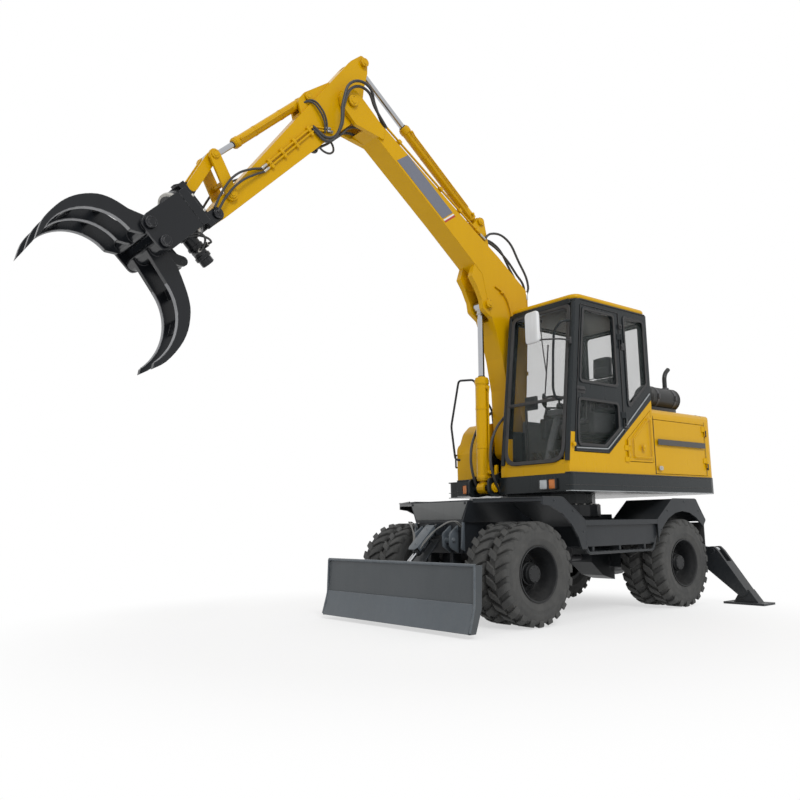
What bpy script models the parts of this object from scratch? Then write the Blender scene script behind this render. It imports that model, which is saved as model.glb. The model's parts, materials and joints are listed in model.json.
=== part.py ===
"""Wheeled log loader with a two-jaw grapple, modelled at its real size.

Metres, +X forward, +Y left, +Z up.  The design coordinates used below have
the ground at Z = 0 and X = 0 half way between the axles; the last step moves
the whole machine so that the middle of its underside is the world origin.

Each moving body hangs from an empty that stands on its joint, and every named
object is one closed solid.
"""

import math

import bmesh
import bpy
from mathutils import Matrix, Vector

# --- Fits ------------------------------------------------------------------
GAP = 0.0003            # between faces that touch
RUN = 0.006             # between pieces that move past each other

# --- Wheels and axles ------------------------------------------------------
TYRE_RADIUS = 0.45
TYRE_WIDTH = 0.235
TWIN_SPACE = 0.03       # between the two tyres of a twin wheel
TRACK_OUTER = 1.0       # outer face of the outer tyre
RIM_RADIUS = 0.2345
FRONT_AXLE_X = 1.11
REAR_AXLE_X = -1.16
KINGPIN_Y = 0.42
KNUCKLE_RADIUS = 0.075
KNUCKLE_HALF = 0.08      # half the height of the knuckle's pin
YOKE = 0.12              # half the height of the axle's yoke around it
HUB_FACE_Y = 0.62       # inner face of each wheel's hub
WHEEL_STEPS = 22

# --- Chassis ---------------------------------------------------------------
FRAME_HALF = 0.30
FRAME_BOTTOM = 0.62
FRAME_TOP = 0.92
MID_HALF = 0.44
FRONT_X = 1.375
FENDER_TOP = 1.11
FENDER_HALF = 1.0
FENDER_WALL = 0.035
STEP_TOP = 0.90
STEP_BOTTOM = 0.66
STEP_FRONT = 0.47
STEP_REAR = -0.71
SWING_X = -0.20
RING_SPLIT = 1.06
RING_RADIUS = 0.55

# --- Blade -----------------------------------------------------------------
BLADE_HALF = 1.03
BLADE_PIVOT = (1.32, 0.45)
BLADE_CYL_BASE = (1.43, 0.84)
BLADE_CYL_PIN = (1.80, 0.50)

# --- Outriggers (places in the YZ plane, left side) --------------------------
LEG_X = (-1.93, -1.77)
LEG_HINGE = (0.50, 0.42)
LEG_EAR = (0.95, 0.55)
LEG_PAD = (1.28, 0.12)
LEG_CYL_BASE = (0.06, 0.79)
REAR_PLATE_X = (-1.96, -1.94)
CROSS_X = (-1.76, -1.66)

# --- Turntable deck ----------------------------------------------------------
DECK_FRONT = 0.617
DECK_REAR = -1.945
DECK_HALF = 0.985
DECK_BOTTOM = 1.168
DECK_TOP = 1.334
BOOM_Y = -0.10          # the plane in which boom, arm and grapple work
BOOM_HALF = 0.12

# --- Cab ---------------------------------------------------------------------
CAB_RIGHT = 0.11
CAB_LEFT = 0.97
CAB_REAR = -0.765
CAB_WALL = 0.05
CAB_FLOOR = 1.42
CAB_EAVES = 3.03
ROOF_TOP = 3.095
SCREEN_TOP_X = 0.40
DOOR_BOTTOM = 1.535
DOOR_TOP = CAB_EAVES - 0.05
POST_TOP = 1.72
POST_DEPTH = 0.068      # of the front post, seen from the side
SCREEN_Y = (CAB_RIGHT + 0.07, CAB_LEFT - 0.07)
SCREEN_Z = (CAB_FLOOR + 0.04, CAB_EAVES - 0.06)
REAR_GLASS_Y = (CAB_RIGHT + 0.08, CAB_LEFT - 0.08)
REAR_GLASS_Z = (2.12, CAB_EAVES - 0.10)
DOOR_REAR = -0.265
DOOR_HINGE = (DOOR_REAR - 0.010, CAB_LEFT + 0.020)
DOOR_HINGE_Z = (1.85, 2.65)
SERVICE_HINGE = (-0.300, CAB_LEFT + 0.014)

# --- Hood --------------------------------------------------------------------
HOOD_FRONT = -0.77
HOOD_SEAM = -1.745
HOOD_REAR = -1.93
HOOD_TOP = 2.05
HOOD_HALF = 0.97
HOOD_WALL = 0.04
HOOD_DOOR_Z = (1.36, 1.93)
HOOD_HINGE = (HOOD_SEAM - 0.0025, CAB_LEFT + 0.014)
MUFFLER = (0.64, 2.24)     # Y and Z of the drum's axis

# --- Boom and arm (places in the XZ plane) ------------------------------------
BOOM_FOOT = (0.27, 1.62)
BOOM_CYL_BASE = (0.66, 1.24)
BOOM_CYL_PIN = (0.625, 3.15)
ELBOW = (2.37, 4.816)
ARM_CYL_BASE = (0.66, 4.06)
ARM_TIP = (3.70, 3.385)
ARM_HALF = 0.095

# --- Arm places, along the arm from the elbow and square to it ----------------
ARM_CYL_PIN = (-0.46, 0.20)
TILT_BASE = (0.368, 0.272)
ROCKER_PIN = (1.721, 0.045)
LINK_PIN = (1.61, 0.365)

# --- Grapple (p along its axis, q square to it in the working plane) ----------
GRAPPLE_ORIGIN = (4.05, 3.25)
HANGER_P = -0.35
HANGER_Q = -0.15
TOP_PIN_Q = 0.13
JAW_PIN_P = 0.305
JAW_PIN_Q = 0.083
TINE_GAP = 0.27
TINE_THICK = 0.045
TAIL_UPPER = (0.165, 0.12)
TAIL_LOWER = (0.145, -0.28)
JAW_SLOT = 0.046        # half the gap in each jaw for the cylinder between them
DIAGONAL = math.sqrt(0.5)  # the grapple hangs half way between level and upright

AXES = {"x": Vector((1, 0, 0)), "y": Vector((0, 1, 0)), "z": Vector((0, 0, 1))}


# --- Scene, finishes and joints -----------------------------------------------
def clear_scene():
    for obj in list(bpy.data.objects):
        bpy.data.objects.remove(obj, do_unlink=True)


FINISHES = {
    # name: (red, green, blue, roughness, metallic)
    "yellow_paint": (0.73, 0.41, 0.01, 0.35, 0.0),
    "grey_paint": (0.045, 0.06, 0.07, 0.45, 0.0),
    "frame_paint": (0.03, 0.035, 0.045, 0.5, 0.0),
    "black_paint": (0.015, 0.015, 0.018, 0.4, 0.0),
    "rubber": (0.02, 0.02, 0.02, 0.85, 0.0),
    "chrome": (0.75, 0.76, 0.78, 0.15, 1.0),
    "glass": (0.25, 0.32, 0.33, 0.05, 0.0),
    "seat_cloth": (0.05, 0.05, 0.055, 0.9, 0.0),
    "cast_iron": (0.08, 0.08, 0.085, 0.7, 0.6),
}


def finish_material(finish):
    material = bpy.data.materials.get(finish)
    if material:
        return material
    red, green, blue, roughness, metallic = FINISHES[finish]
    material = bpy.data.materials.new(finish)
    material.use_nodes = True
    shader = material.node_tree.nodes["Principled BSDF"]
    shader.inputs["Base Color"].default_value = (red, green, blue, 1)
    shader.inputs["Roughness"].default_value = roughness
    shader.inputs["Metallic"].default_value = metallic
    return material


def joint_empty(name, place, carrier=None):
    """An empty on a joint; its children turn or slide about it."""
    empty = bpy.data.objects.new(name, None)
    empty.empty_display_size = 0.1
    bpy.context.scene.collection.objects.link(empty)
    if carrier:
        empty.parent = carrier
        carried = world_place(carrier)
        empty.location = Vector(place) - carried
    else:
        empty.location = place
    return empty


def world_place(obj):
    place = Vector((0, 0, 0))
    while obj:
        place += obj.location
        obj = obj.parent
    return place


# --- Closed bodies ---------------------------------------------------------------
def outline(*corners, steps=4):
    """Points of a flat outline; a corner is (u, v) or (u, v, fillet radius)."""
    points = []
    for index, corner in enumerate(corners):
        here = Vector(corner[:2])
        if len(corner) == 2:
            points.append(here)
            continue
        before = (Vector(corners[index - 1][:2]) - here).normalized()
        after = (Vector(corners[(index + 1) % len(corners)][:2]) - here).normalized()
        half = before.angle(after) / 2
        centre = here + (before + after).normalized() * (corner[2] / math.sin(half))
        start = here + before * (corner[2] / math.tan(half)) - centre
        end = here + after * (corner[2] / math.tan(half)) - centre
        sweep = math.atan2(start.x * end.y - start.y * end.x, start.dot(end))
        for step in range(steps + 1):
            turn = Matrix.Rotation(sweep * step / steps, 2)
            points.append(centre + turn @ start)
    return points


def ring(u, v, radius, first=0.0, last=360.0, steps=12):
    """Points on an arc, from first to last degrees."""
    count = steps if last - first >= 360 else steps + 1
    span = math.radians(last - first) / steps
    start = math.radians(first)
    return [
        Vector((u + radius * math.cos(start + span * i), v + radius * math.sin(start + span * i)))
        for i in range(count)
    ]


def set_in(axis, point, depth):
    u, v = point
    return {"x": (depth, u, v), "y": (u, depth, v), "z": (u, v, depth)}[axis]


def prism(axis, low, high, points):
    """A flat outline pushed along one axis from low to high."""
    bm = bmesh.new()
    face = bm.faces.new([bm.verts.new(set_in(axis, p, low)) for p in points])
    pushed = bmesh.ops.extrude_face_region(bm, geom=[face])["geom"]
    verts = [g for g in pushed if isinstance(g, bmesh.types.BMVert)]
    bmesh.ops.translate(bm, verts=verts, vec=AXES[axis] * (high - low))
    return facing_out(bm)


def facing_out(bm):
    """Turn every face of a closed body to point outwards."""
    bmesh.ops.recalc_face_normals(bm, faces=bm.faces)
    if bm.calc_volume(signed=True) < 0:
        bmesh.ops.reverse_faces(bm, faces=bm.faces)
    return bm


def box(x, y, z):
    """A block from (low, high) pairs."""
    return prism("z", z[0], z[1], [(x[0], y[0]), (x[1], y[0]), (x[1], y[1]), (x[0], y[1])])


def bar(start, end, radius, sides=10, radius_end=None, turn=0.0):
    """A round bar, or a cone, between two points."""
    start, end = Vector(start), Vector(end)
    along = end - start
    bm = bmesh.new()
    bmesh.ops.create_cone(
        bm, cap_ends=True, segments=sides, radius1=radius,
        radius2=radius if radius_end is None else radius_end, depth=along.length,
    )
    aim = along.to_track_quat("Z", "Y").to_matrix().to_4x4()
    place = Matrix.Translation((start + end) / 2) @ aim @ Matrix.Rotation(turn, 4, "Z")
    bmesh.ops.transform(bm, matrix=place, verts=bm.verts)
    return bm


def cross_bar(place, y_low, y_high, radius, sides=10):
    """A round bar along Y at (x, z)."""
    return bar((place[0], y_low, place[1]), (place[0], y_high, place[1]), radius, sides)


def bore(start, end, pin_radius, sides=10):
    """Cutter for a bore that clears a faceted pin of this radius at any angle."""
    radius = (pin_radius + GAP) / math.cos(math.pi / sides)
    return bar(start, end, radius, sides, turn=math.pi / sides)


def cross_bore(place, y_low, y_high, pin_radius):
    return bore((place[0], y_low, place[1]), (place[0], y_high, place[1]), pin_radius)


def lathe(profile, steps=12):
    """A (radius, x) profile turned about the X axis, from the axis to the axis."""
    bm = turned(profile, (0, 0, 0), steps)
    bmesh.ops.rotate(bm, cent=(0, 0, 0), matrix=Matrix.Rotation(-math.pi / 2, 3, "Z"), verts=bm.verts)
    return bm


def turned(profile, centre, steps=WHEEL_STEPS, whole=False):
    """A profile of (radius, y) points turned about the Y axis through centre.

    An open profile runs from the axis to the axis; a whole one is a closed loop.
    """
    bm = bmesh.new()
    half = math.pi / steps
    verts = [bm.verts.new((r * math.sin(half), y, -r * math.cos(half))) for r, y in profile]
    edges = [bm.edges.new(pair) for pair in zip(verts, verts[1:])]
    if whole:
        edges.append(bm.edges.new((verts[-1], verts[0])))
    bmesh.ops.spin(
        bm, geom=verts + edges, cent=(0, 0, 0), axis=(0, 1, 0),
        angle=math.tau, steps=steps, use_merge=True,
    )
    bmesh.ops.remove_doubles(bm, verts=bm.verts, dist=1e-5)
    bmesh.ops.translate(bm, verts=bm.verts, vec=centre)
    return facing_out(bm)


def flipped(bm, side):
    """The body itself on the left (side 1), its mirror image on the right (-1)."""
    if side < 0:
        bmesh.ops.scale(bm, vec=(1, -1, 1), verts=bm.verts)
        bmesh.ops.reverse_faces(bm, faces=bm.faces)
    return bm


def moved(bm, matrix):
    bmesh.ops.transform(bm, matrix=matrix, verts=bm.verts)
    return bm


def loose_object(name, bm):
    mesh = bpy.data.meshes.new(name)
    bm.to_mesh(mesh)
    bm.free()
    obj = bpy.data.objects.new(name, mesh)
    bpy.context.scene.collection.objects.link(obj)
    return obj


def simplify(mesh):
    """Merge the flat faces that joining left split, where the body stays closed."""
    for flat in (0.3, 0.0):
        bm = bmesh.new()
        bm.from_mesh(mesh)
        bmesh.ops.remove_doubles(bm, verts=bm.verts, dist=1e-5)
        bmesh.ops.dissolve_degenerate(bm, edges=bm.edges, dist=1e-5)
        if flat:
            bmesh.ops.dissolve_limit(
                bm, angle_limit=math.radians(flat), verts=bm.verts, edges=bm.edges,
            )
        bmesh.ops.triangulate(bm, faces=bm.faces)
        if all(len(edge.link_faces) == 2 for edge in bm.edges):
            bm.to_mesh(mesh)
            bm.free()
            return
        bm.free()


def piece(name, finish, carrier, add, cut=(), side=1):
    """One named solid: the bodies in add joined, those in cut taken away."""
    obj = loose_object(name, flipped(add[0], side))
    helpers = []
    for operation, bodies in (("UNION", add[1:]), ("DIFFERENCE", cut)):
        for body in bodies:
            helper = loose_object("helper", flipped(body, side))
            helper.hide_render = True
            helper.display_type = "WIRE"
            helpers.append(helper)
            boolean = obj.modifiers.new(operation.title(), "BOOLEAN")
            boolean.operation = operation
            boolean.solver = "EXACT"
            boolean.object = helper
    if helpers:
        bpy.context.view_layer.update()
        graph = bpy.context.evaluated_depsgraph_get()
        made = bpy.data.meshes.new_from_object(obj.evaluated_get(graph))
        obj.modifiers.clear()
        obj.data = made
        made.name = name
        for helper in helpers:
            bpy.data.objects.remove(helper, do_unlink=True)
    simplify(obj.data)
    obj.data.materials.clear()
    obj.data.materials.append(finish_material(finish))
    obj.data.shade_smooth()
    obj.data.set_sharp_from_angle(angle=math.radians(35))
    obj.data.transform(Matrix.Translation(-world_place(carrier)))
    obj.parent = carrier
    return obj


# --- Hydraulic cylinders ------------------------------------------------------------
def along_cylinder(base, pin, across):
    """Frame with X from base to pin, Y along the pins and its origin at base."""
    base, pin, across = Vector(base), Vector(pin), Vector(across)
    forward = (pin - base).normalized()
    up = forward.cross(across).normalized()
    frame = Matrix((forward, across, up)).transposed().to_4x4()
    return Matrix.Translation(base) @ frame


def cylinder_pair(name, finish, carrier, base, pin, across, size, extra=()):
    """Barrel and rod between two pins.

    size: barrel radius, barrel length from its pin, rod radius, eye radius,
    eye width, pin radius, and how far the rod can still slide in.
    """
    barrel_r, barrel_l, rod_r, eye_r, eye_w, pin_r, slide_in = size
    frame = along_cylinder(base, pin, across)
    reach = (Vector(pin) - Vector(base)).length
    floor = eye_r + 0.022
    rod_start = floor + slide_in + 0.012
    barrel_joint = joint_empty(name + "_pin", base, carrier)
    rod_joint = joint_empty(name + "_slide", pin, barrel_joint)
    bore_r = rod_r + GAP
    collar = barrel_r * 1.12
    neck = min(barrel_r, eye_w / 2) * 0.83
    barrel = [
        lathe([(0, eye_r * 0.72), (neck, eye_r * 0.72), (neck, eye_r + 0.008), (barrel_r, eye_r + 0.014),
               (barrel_r, barrel_l - 0.05), (collar, barrel_l - 0.045), (collar, barrel_l), (bore_r, barrel_l),
               (bore_r, floor), (0, floor)]),
        bar((0, -eye_w / 2, 0), (0, eye_w / 2, 0), eye_r, 12, turn=0.11),
    ]
    barrel += list(extra)
    pins_along = Vector(map(abs, across)) * eye_w
    rod = [
        lathe([(0, rod_start), (rod_r, rod_start), (rod_r, reach - eye_r * 0.4), (0, reach - eye_r * 0.4)]),
        bar((reach, -eye_w / 2, 0), (reach, eye_w / 2, 0), eye_r, 12, turn=0.11),
    ]
    piece(name + "_barrel", finish, barrel_joint, [moved(b, frame) for b in barrel],
          [bore(Vector(base) - pins_along, Vector(base) + pins_along, pin_r)])
    piece(name + "_rod", "chrome", rod_joint, [moved(b, frame) for b in rod])


# --- Chassis ---------------------------------------------------------------------------
def build_chassis(chassis):
    """Main frame with its front deck, swing ring seat and outrigger plates."""
    cross_plate = outline((-0.60, 0.34), (0.60, 0.34), (0.60, 0.50), (0.26, 0.90),
                          (-0.26, 0.90), (-0.60, 0.50))
    ear = outline((1.25, 0.64), (BLADE_PIVOT[0] - 0.05, BLADE_PIVOT[1] - 0.05, 0.03),
                  (BLADE_PIVOT[0] + 0.05, BLADE_PIVOT[1] - 0.05, 0.03), (1.36, 0.64))
    base_x, base_z = BLADE_CYL_BASE
    cylinder_ear = outline((1.34, base_z - 0.06), (base_x + 0.045, base_z - 0.05, 0.03),
                           (base_x + 0.045, base_z + 0.05, 0.03), (1.34, base_z + 0.06))
    add = [
        box((-1.60, 1.36), (-FRAME_HALF, FRAME_HALF), (FRAME_BOTTOM, FRAME_TOP)),
        box((STEP_REAR, 0.45), (-MID_HALF, MID_HALF), (0.65, 0.96)),
        prism("x", 0.42, FRONT_X, [(-0.33, 0.90), (0.33, 0.90), (0.41, 1.10), (-0.41, 1.10)]),
        bar((SWING_X, 0, 0.94), (SWING_X, 0, RING_SPLIT), RING_RADIUS, 24),
        box((-1.68, -1.55), (-0.28, 0.28), (0.60, 0.90)),
        prism("x", *CROSS_X, cross_plate),
        prism("x", *REAR_PLATE_X, cross_plate),
        box((REAR_PLATE_X[0] + 0.01, CROSS_X[1] - 0.01), (-0.10, 0.10), (0.42, 0.70)),
        cross_bar(BLADE_PIVOT, -0.235, 0.235, 0.025),
        cross_bar(BLADE_CYL_BASE, -0.075, 0.075, 0.02),
    ]
    for side in (1, -1):
        add += [
            flipped(prism("y", 0.135, 0.172, ear), side),
            flipped(prism("y", 0.045, 0.068, cylinder_ear), side),
            bar((REAR_PLATE_X[0] - 0.012, side * LEG_HINGE[0], LEG_HINGE[1]),
                (CROSS_X[1] - 0.03, side * LEG_HINGE[0], LEG_HINGE[1]), 0.03),
            bar((REAR_PLATE_X[0] - 0.008, side * LEG_CYL_BASE[0], LEG_CYL_BASE[1]),
                (CROSS_X[1] - 0.03, side * LEG_CYL_BASE[0], LEG_CYL_BASE[1]), 0.02),
        ]
    piece("chassis_frame", "frame_paint", chassis, add)


def build_fender(chassis, side, name):
    """Front wing, step box and rear wing of one side, with both wheel arches."""
    inner = MID_HALF + GAP
    top = FENDER_TOP
    wall = FENDER_WALL
    front_plan = [(0.60, 0.41 + GAP), (1.375, 0.41 + GAP), (1.05, FENDER_HALF), (0.60, FENDER_HALF)]
    front_skin = outline((STEP_FRONT, STEP_TOP), (0.77, top), (1.40, top), (1.40, top - wall),
                         (0.785, top - wall), (STEP_FRONT, STEP_TOP - wall * 1.5))
    rear_skin = outline((STEP_REAR, STEP_TOP), (STEP_REAR, STEP_TOP - wall * 1.5), (-0.99, top - 0.003 - wall),
                        (-1.42, top - 0.003 - wall), (-1.58, 0.87), (-1.60, 0.89), (-1.43, top - 0.003),
                        (-0.985, top - 0.003))
    front_side = outline((STEP_FRONT - 0.01, 0.64), (STEP_FRONT - 0.01, STEP_TOP), (0.77, top), (1.05, top),
                         (1.05, 0.95), (1.0, 0.64))
    rear_side = outline((STEP_REAR + 0.01, 0.66), (STEP_REAR + 0.01, STEP_TOP), (-0.985, top - 0.003),
                        (-1.43, top - 0.003), (-1.60, 0.88), (-1.45, 0.70))
    outside = prism("z", 0.5, 1.3, [(1.375 + GAP, 0.30), (1.6, 0.30), (1.6, 1.2), (0.94, 1.2)])
    add = [
        box((STEP_REAR, STEP_FRONT), (inner, FENDER_HALF - 0.03), (STEP_BOTTOM, STEP_TOP)),
        box((STEP_REAR, STEP_FRONT), (inner + 0.05, FENDER_HALF), (STEP_TOP - 0.045, STEP_TOP)),
        prism("y", 0.41 + GAP, FENDER_HALF, front_skin),
        prism("y", inner, FENDER_HALF, rear_skin),
        prism("y", FENDER_HALF - 0.02, FENDER_HALF, front_side),
        prism("y", FENDER_HALF - 0.02, FENDER_HALF, rear_side),
    ]
    arches = [
        bar((FRONT_AXLE_X - 0.02, 0.9, TYRE_RADIUS), (FRONT_AXLE_X - 0.02, 1.1, TYRE_RADIUS), 0.60, 24),
        bar((REAR_AXLE_X, 0.9, TYRE_RADIUS), (REAR_AXLE_X, 1.1, TYRE_RADIUS), 0.53, 24),
    ]
    slit = box((0.30, 0.60), (0.40, inner), (0.5, 1.3))
    piece(name, "frame_paint", chassis, add, [outside, slit] + arches, side=side)


def build_axles(chassis):
    """Steered front axle with its yokes, and the rear axle with its gearbox."""
    z = TYRE_RADIUS
    x = FRONT_AXLE_X
    add = [
        box((x - 0.085, x + 0.085), (-0.33, 0.33), (z - 0.08, z + 0.08)),
        bar((x - 0.13, 0, z), (x + 0.12, 0, z), 0.165, 16),
        box((x - 0.11, x + 0.11), (-0.13, 0.13), (z + 0.05, FRAME_BOTTOM - GAP)),
    ]
    for side in (1, -1):
        for low, high in ((z - YOKE, z - KNUCKLE_HALF - GAP), (z + KNUCKLE_HALF + GAP, z + YOKE)):
            add.append(flipped(prism("z", low, high, outline(
                (x - 0.06, 0.28), (x + 0.06, 0.28), (x + 0.05, 0.475, 0.04), (x - 0.05, 0.475, 0.04))), side))
        add.append(flipped(box((x - 0.06, x + 0.06), (0.28, 0.335), (z - YOKE, z + YOKE)), side))
    piece("front_axle", "frame_paint", chassis, add)

    x = REAR_AXLE_X
    face = HUB_FACE_Y - GAP
    piece("rear_axle", "frame_paint", chassis, [
        bar((x, -face, z), (x, face, z), 0.09, 16),
        box((x - 0.14, x + 0.14), (-0.30, 0.30), (z - 0.06, FRAME_BOTTOM - GAP)),
        bar((x - 0.20, 0, z), (x + 0.16, 0, z), 0.165, 16),
        prism("y", -0.15, 0.15, outline((-1.10, 0.25), (-0.90, 0.30), (-0.70, 0.45), (-0.70, 0.60),
                                        (-1.10, 0.60))),
    ])


def build_wheel(name, hub_joint, x, side):
    """Twin tyres in one body with the ring between them, and their steel wheel."""
    out = TRACK_OUTER
    inner_out = out - TYRE_WIDTH - TWIN_SPACE
    flat = 1 / math.cos(math.pi / WHEEL_STEPS)
    r = TYRE_RADIUS * flat
    bead = (RIM_RADIUS + GAP)
    section = [
        # radius, distance in from the outer face of the tyre
        (0.32 * flat, 0.0), (r - 0.02, 0.01), (r, 0.04), (r, TYRE_WIDTH - 0.04),
        (r - 0.02, TYRE_WIDTH - 0.01),
    ]
    ring_radius = 0.27
    profile = [(bead, out - 0.015)]
    profile += [(radius, out - depth) for radius, depth in section]
    profile += [(ring_radius, out - TYRE_WIDTH), (ring_radius, inner_out)]
    profile += [(radius, inner_out - depth) for radius, depth in section[1:]]
    profile += [(0.32 * flat, inner_out - TYRE_WIDTH), (bead, inner_out - TYRE_WIDTH + 0.015)]
    centre = (x, 0, TYRE_RADIUS)
    piece(name + "_tyres", "rubber", hub_joint, [turned(profile, centre, whole=True)], side=side)
    steel = [
        # radius, y
        (0, 0.935), (0.08, 0.935), (0.095, 0.91), (0.10, 0.81), (0.185, 0.795),
        (0.205, 0.975), (RIM_RADIUS, 0.982), (RIM_RADIUS, 0.518), (0.205, 0.515),
        (0.195, 0.69), (0.12, 0.70), (0.12, HUB_FACE_Y), (0, HUB_FACE_Y),
    ]
    piece(name + "_wheel", "frame_paint", hub_joint, [turned(steel, centre)], side=side)


def build_running_gear(chassis):
    """Knuckles and the four twin wheels."""
    z = TYRE_RADIUS
    for side, word in ((1, "left"), (-1, "right")):
        kingpin = joint_empty(f"{word}_kingpin", (FRONT_AXLE_X, side * KINGPIN_Y, z), chassis)
        piece(f"{word}_knuckle", "frame_paint", kingpin, [
            bar((FRONT_AXLE_X, 0.378, z), (FRONT_AXLE_X, HUB_FACE_Y - GAP, z), KNUCKLE_RADIUS, 16),
            bar((FRONT_AXLE_X, KINGPIN_Y, z - KNUCKLE_HALF), (FRONT_AXLE_X, KINGPIN_Y, z + KNUCKLE_HALF), 0.045, 16),
        ], side=side)
        middle = side * (TRACK_OUTER + HUB_FACE_Y) / 2
        front = joint_empty(f"front_{word}_hub", (FRONT_AXLE_X, middle, z), kingpin)
        build_wheel(f"front_{word}", front, FRONT_AXLE_X, side)
        rear = joint_empty(f"rear_{word}_hub", (REAR_AXLE_X, middle, z), chassis)
        build_wheel(f"rear_{word}", rear, REAR_AXLE_X, side)


def build_blade(chassis):
    """Dozer blade on two arms, with its lift cylinder under a guard plate."""
    pivot_x, pivot_z = BLADE_PIVOT
    hinge = joint_empty("blade_hinge", (pivot_x, 0, pivot_z), chassis)
    board = outline((1.915, 0.557), (1.932, 0.24), (1.995, 0.035), (1.965, 0.035), (1.90, 0.24), (1.89, 0.557))
    cheek = outline((1.84, 0.560), (1.918, 0.560), (1.935, 0.241), (1.998, 0.033), (1.93, 0.033), (1.86, 0.22))
    arm = outline((pivot_x - 0.045, pivot_z - 0.045, 0.04), (1.50, 0.30, 0.05), (1.91, 0.24), (1.90, 0.42),
                  (1.55, 0.40, 0.05), (pivot_x, pivot_z + 0.055), (pivot_x - 0.045, pivot_z + 0.045, 0.03))
    pin_x, pin_z = BLADE_CYL_PIN
    ear = outline((1.90, 0.42), (pin_x - 0.035, pin_z - 0.05, 0.03), (pin_x - 0.04, pin_z + 0.04, 0.03), (1.90, 0.555))
    add = [
        prism("y", 0.01 - BLADE_HALF, BLADE_HALF - 0.01, board),
        box((1.83, 1.905), (-0.96, 0.96), (0.27, 0.37)),
    ]
    for side in (1, -1):
        add += [
            flipped(prism("y", BLADE_HALF - 0.022, BLADE_HALF, cheek), side),
            flipped(prism("y", 0.178, 0.218, arm), side),
            flipped(prism("y", 0.040, 0.062, ear), side),
        ]
    cut = [cross_bore(BLADE_PIVOT, -0.30, 0.30, 0.025)]
    piece("blade", "grey_paint", hinge, add, cut)
    # The guard rides on the barrel, in its own frame: X along, Y across, Z above.
    guard = [
        prism("z", 0.058, 0.070, [(0.07, -0.075), (0.07, 0.075), (0.41, 0.12), (0.41, -0.12)]),
        box((0.10, 0.24), (-0.01, 0.01), (0.03, 0.062)),
    ]
    cylinder_pair("blade", "frame_paint", chassis, (BLADE_CYL_BASE[0], 0, BLADE_CYL_BASE[1]),
                  (pin_x, 0, pin_z), (0, -1, 0), (0.04, 0.30, 0.022, 0.036, 0.066, 0.02, 0.135), guard)


def build_outriggers(chassis):
    """Hinged rear legs with their ground pads and cylinders."""
    for side, word in ((1, "left"), (-1, "right")):
        middle = sum(LEG_X) / 2
        hinge = joint_empty(f"{word}_leg_hinge", (middle, side * LEG_HINGE[0], LEG_HINGE[1]), chassis)
        body = outline((0.43, 0.42), (0.45, 0.365, 0.03), (0.87, 0.36, 0.05), (1.235, 0.075, 0.04),
                       (1.335, 0.10, 0.04), (1.02, 0.55, 0.08), (0.97, 0.60, 0.04), (0.88, 0.59, 0.04),
                       (0.56, 0.49, 0.05), (0.45, 0.485, 0.04))
        pad_y, pad_z = LEG_PAD
        add = [
            prism("x", *LEG_X, body),
            prism("z", 0.0, 0.022, [(-1.97, 1.06), (-1.97, 1.50), (-1.73, 1.50), (-1.73, 1.06)]),
            prism("x", LEG_X[0] + 0.02, LEG_X[1] - 0.02,
                  [(pad_y - 0.14, 0.015), (pad_y + 0.14, 0.015), (pad_y + 0.04, pad_z + 0.03),
                   (pad_y - 0.05, pad_z + 0.03)]),
            bar((LEG_X[0] - 0.0035, *LEG_EAR), (LEG_X[0] + 0.03, *LEG_EAR), 0.03, 12),
            bar((LEG_X[1] - 0.03, *LEG_EAR), (LEG_X[1] + 0.0035, *LEG_EAR), 0.03, 12),
        ]
        cut = [
            bore((LEG_X[0] - 0.05, *LEG_HINGE), (LEG_X[1] + 0.05, *LEG_HINGE), 0.03),
            prism("x", middle - 0.048, middle + 0.048,
                  [(0.72, 0.70), (0.74, 0.47), (0.86, 0.44), (1.30, 0.44), (1.30, 0.70)]),
        ]
        piece(f"{word}_leg", "frame_paint", hinge, add, cut, side=side)
        cylinder_pair(
            f"{word}_leg", "frame_paint", chassis,
            (middle, side * LEG_CYL_BASE[0], LEG_CYL_BASE[1]), (middle, side * LEG_EAR[0], LEG_EAR[1]),
            (-side, 0, 0), (0.038, 0.51, 0.02, 0.04, 0.07, 0.02, 0.35))


# --- Upper structure -------------------------------------------------------------------
def build_deck(upper):
    """Turntable deck with its skirt and the plates that carry the boom."""
    inner_y, outer_y = BOOM_Y - BOOM_HALF - 0.04, BOOM_Y + BOOM_HALF + 0.06
    plan = outline(
        (DECK_FRONT, outer_y), (DECK_FRONT, DECK_HALF, 0.03), (DECK_REAR, DECK_HALF, 0.14),
        (DECK_REAR, -DECK_HALF, 0.14), (0.33, -DECK_HALF, 0.05), (0.33, -0.60), (0.56, -0.60),
        (0.56, inner_y), (0.16, inner_y), (0.16, outer_y))
    fx, fz = BOOM_FOOT
    cx, cz = BOOM_CYL_BASE
    plate = outline((-0.30, 1.20), (0.45, 1.175), (cx - 0.05, 1.15, 0.02), (cx + 0.07, 1.15, 0.05),
                    (cx + 0.08, cz + 0.08, 0.05), (0.50, 1.42), (fx + 0.09, fz + 0.02, 0.05),
                    (fx + 0.05, fz + 0.11, 0.05), (fx - 0.09, fz + 0.10, 0.05), (-0.30, 1.36))
    add = [
        prism("z", DECK_BOTTOM, DECK_TOP, plan),
        bar((SWING_X, 0, RING_SPLIT + GAP), (SWING_X, 0, DECK_BOTTOM + 0.02), RING_RADIUS - 0.05, 24),
        cross_bar(BOOM_FOOT, inner_y + 0.005, outer_y - 0.025, 0.035),
        cross_bar(BOOM_CYL_BASE, inner_y + 0.005, outer_y - 0.025, 0.03),
    ]
    for low in (BOOM_Y - BOOM_HALF - 0.032, BOOM_Y + BOOM_HALF + 0.006):
        add.append(prism("y", low, low + 0.026, plate))
    piece("deck", "grey_paint", upper, add)


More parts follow.
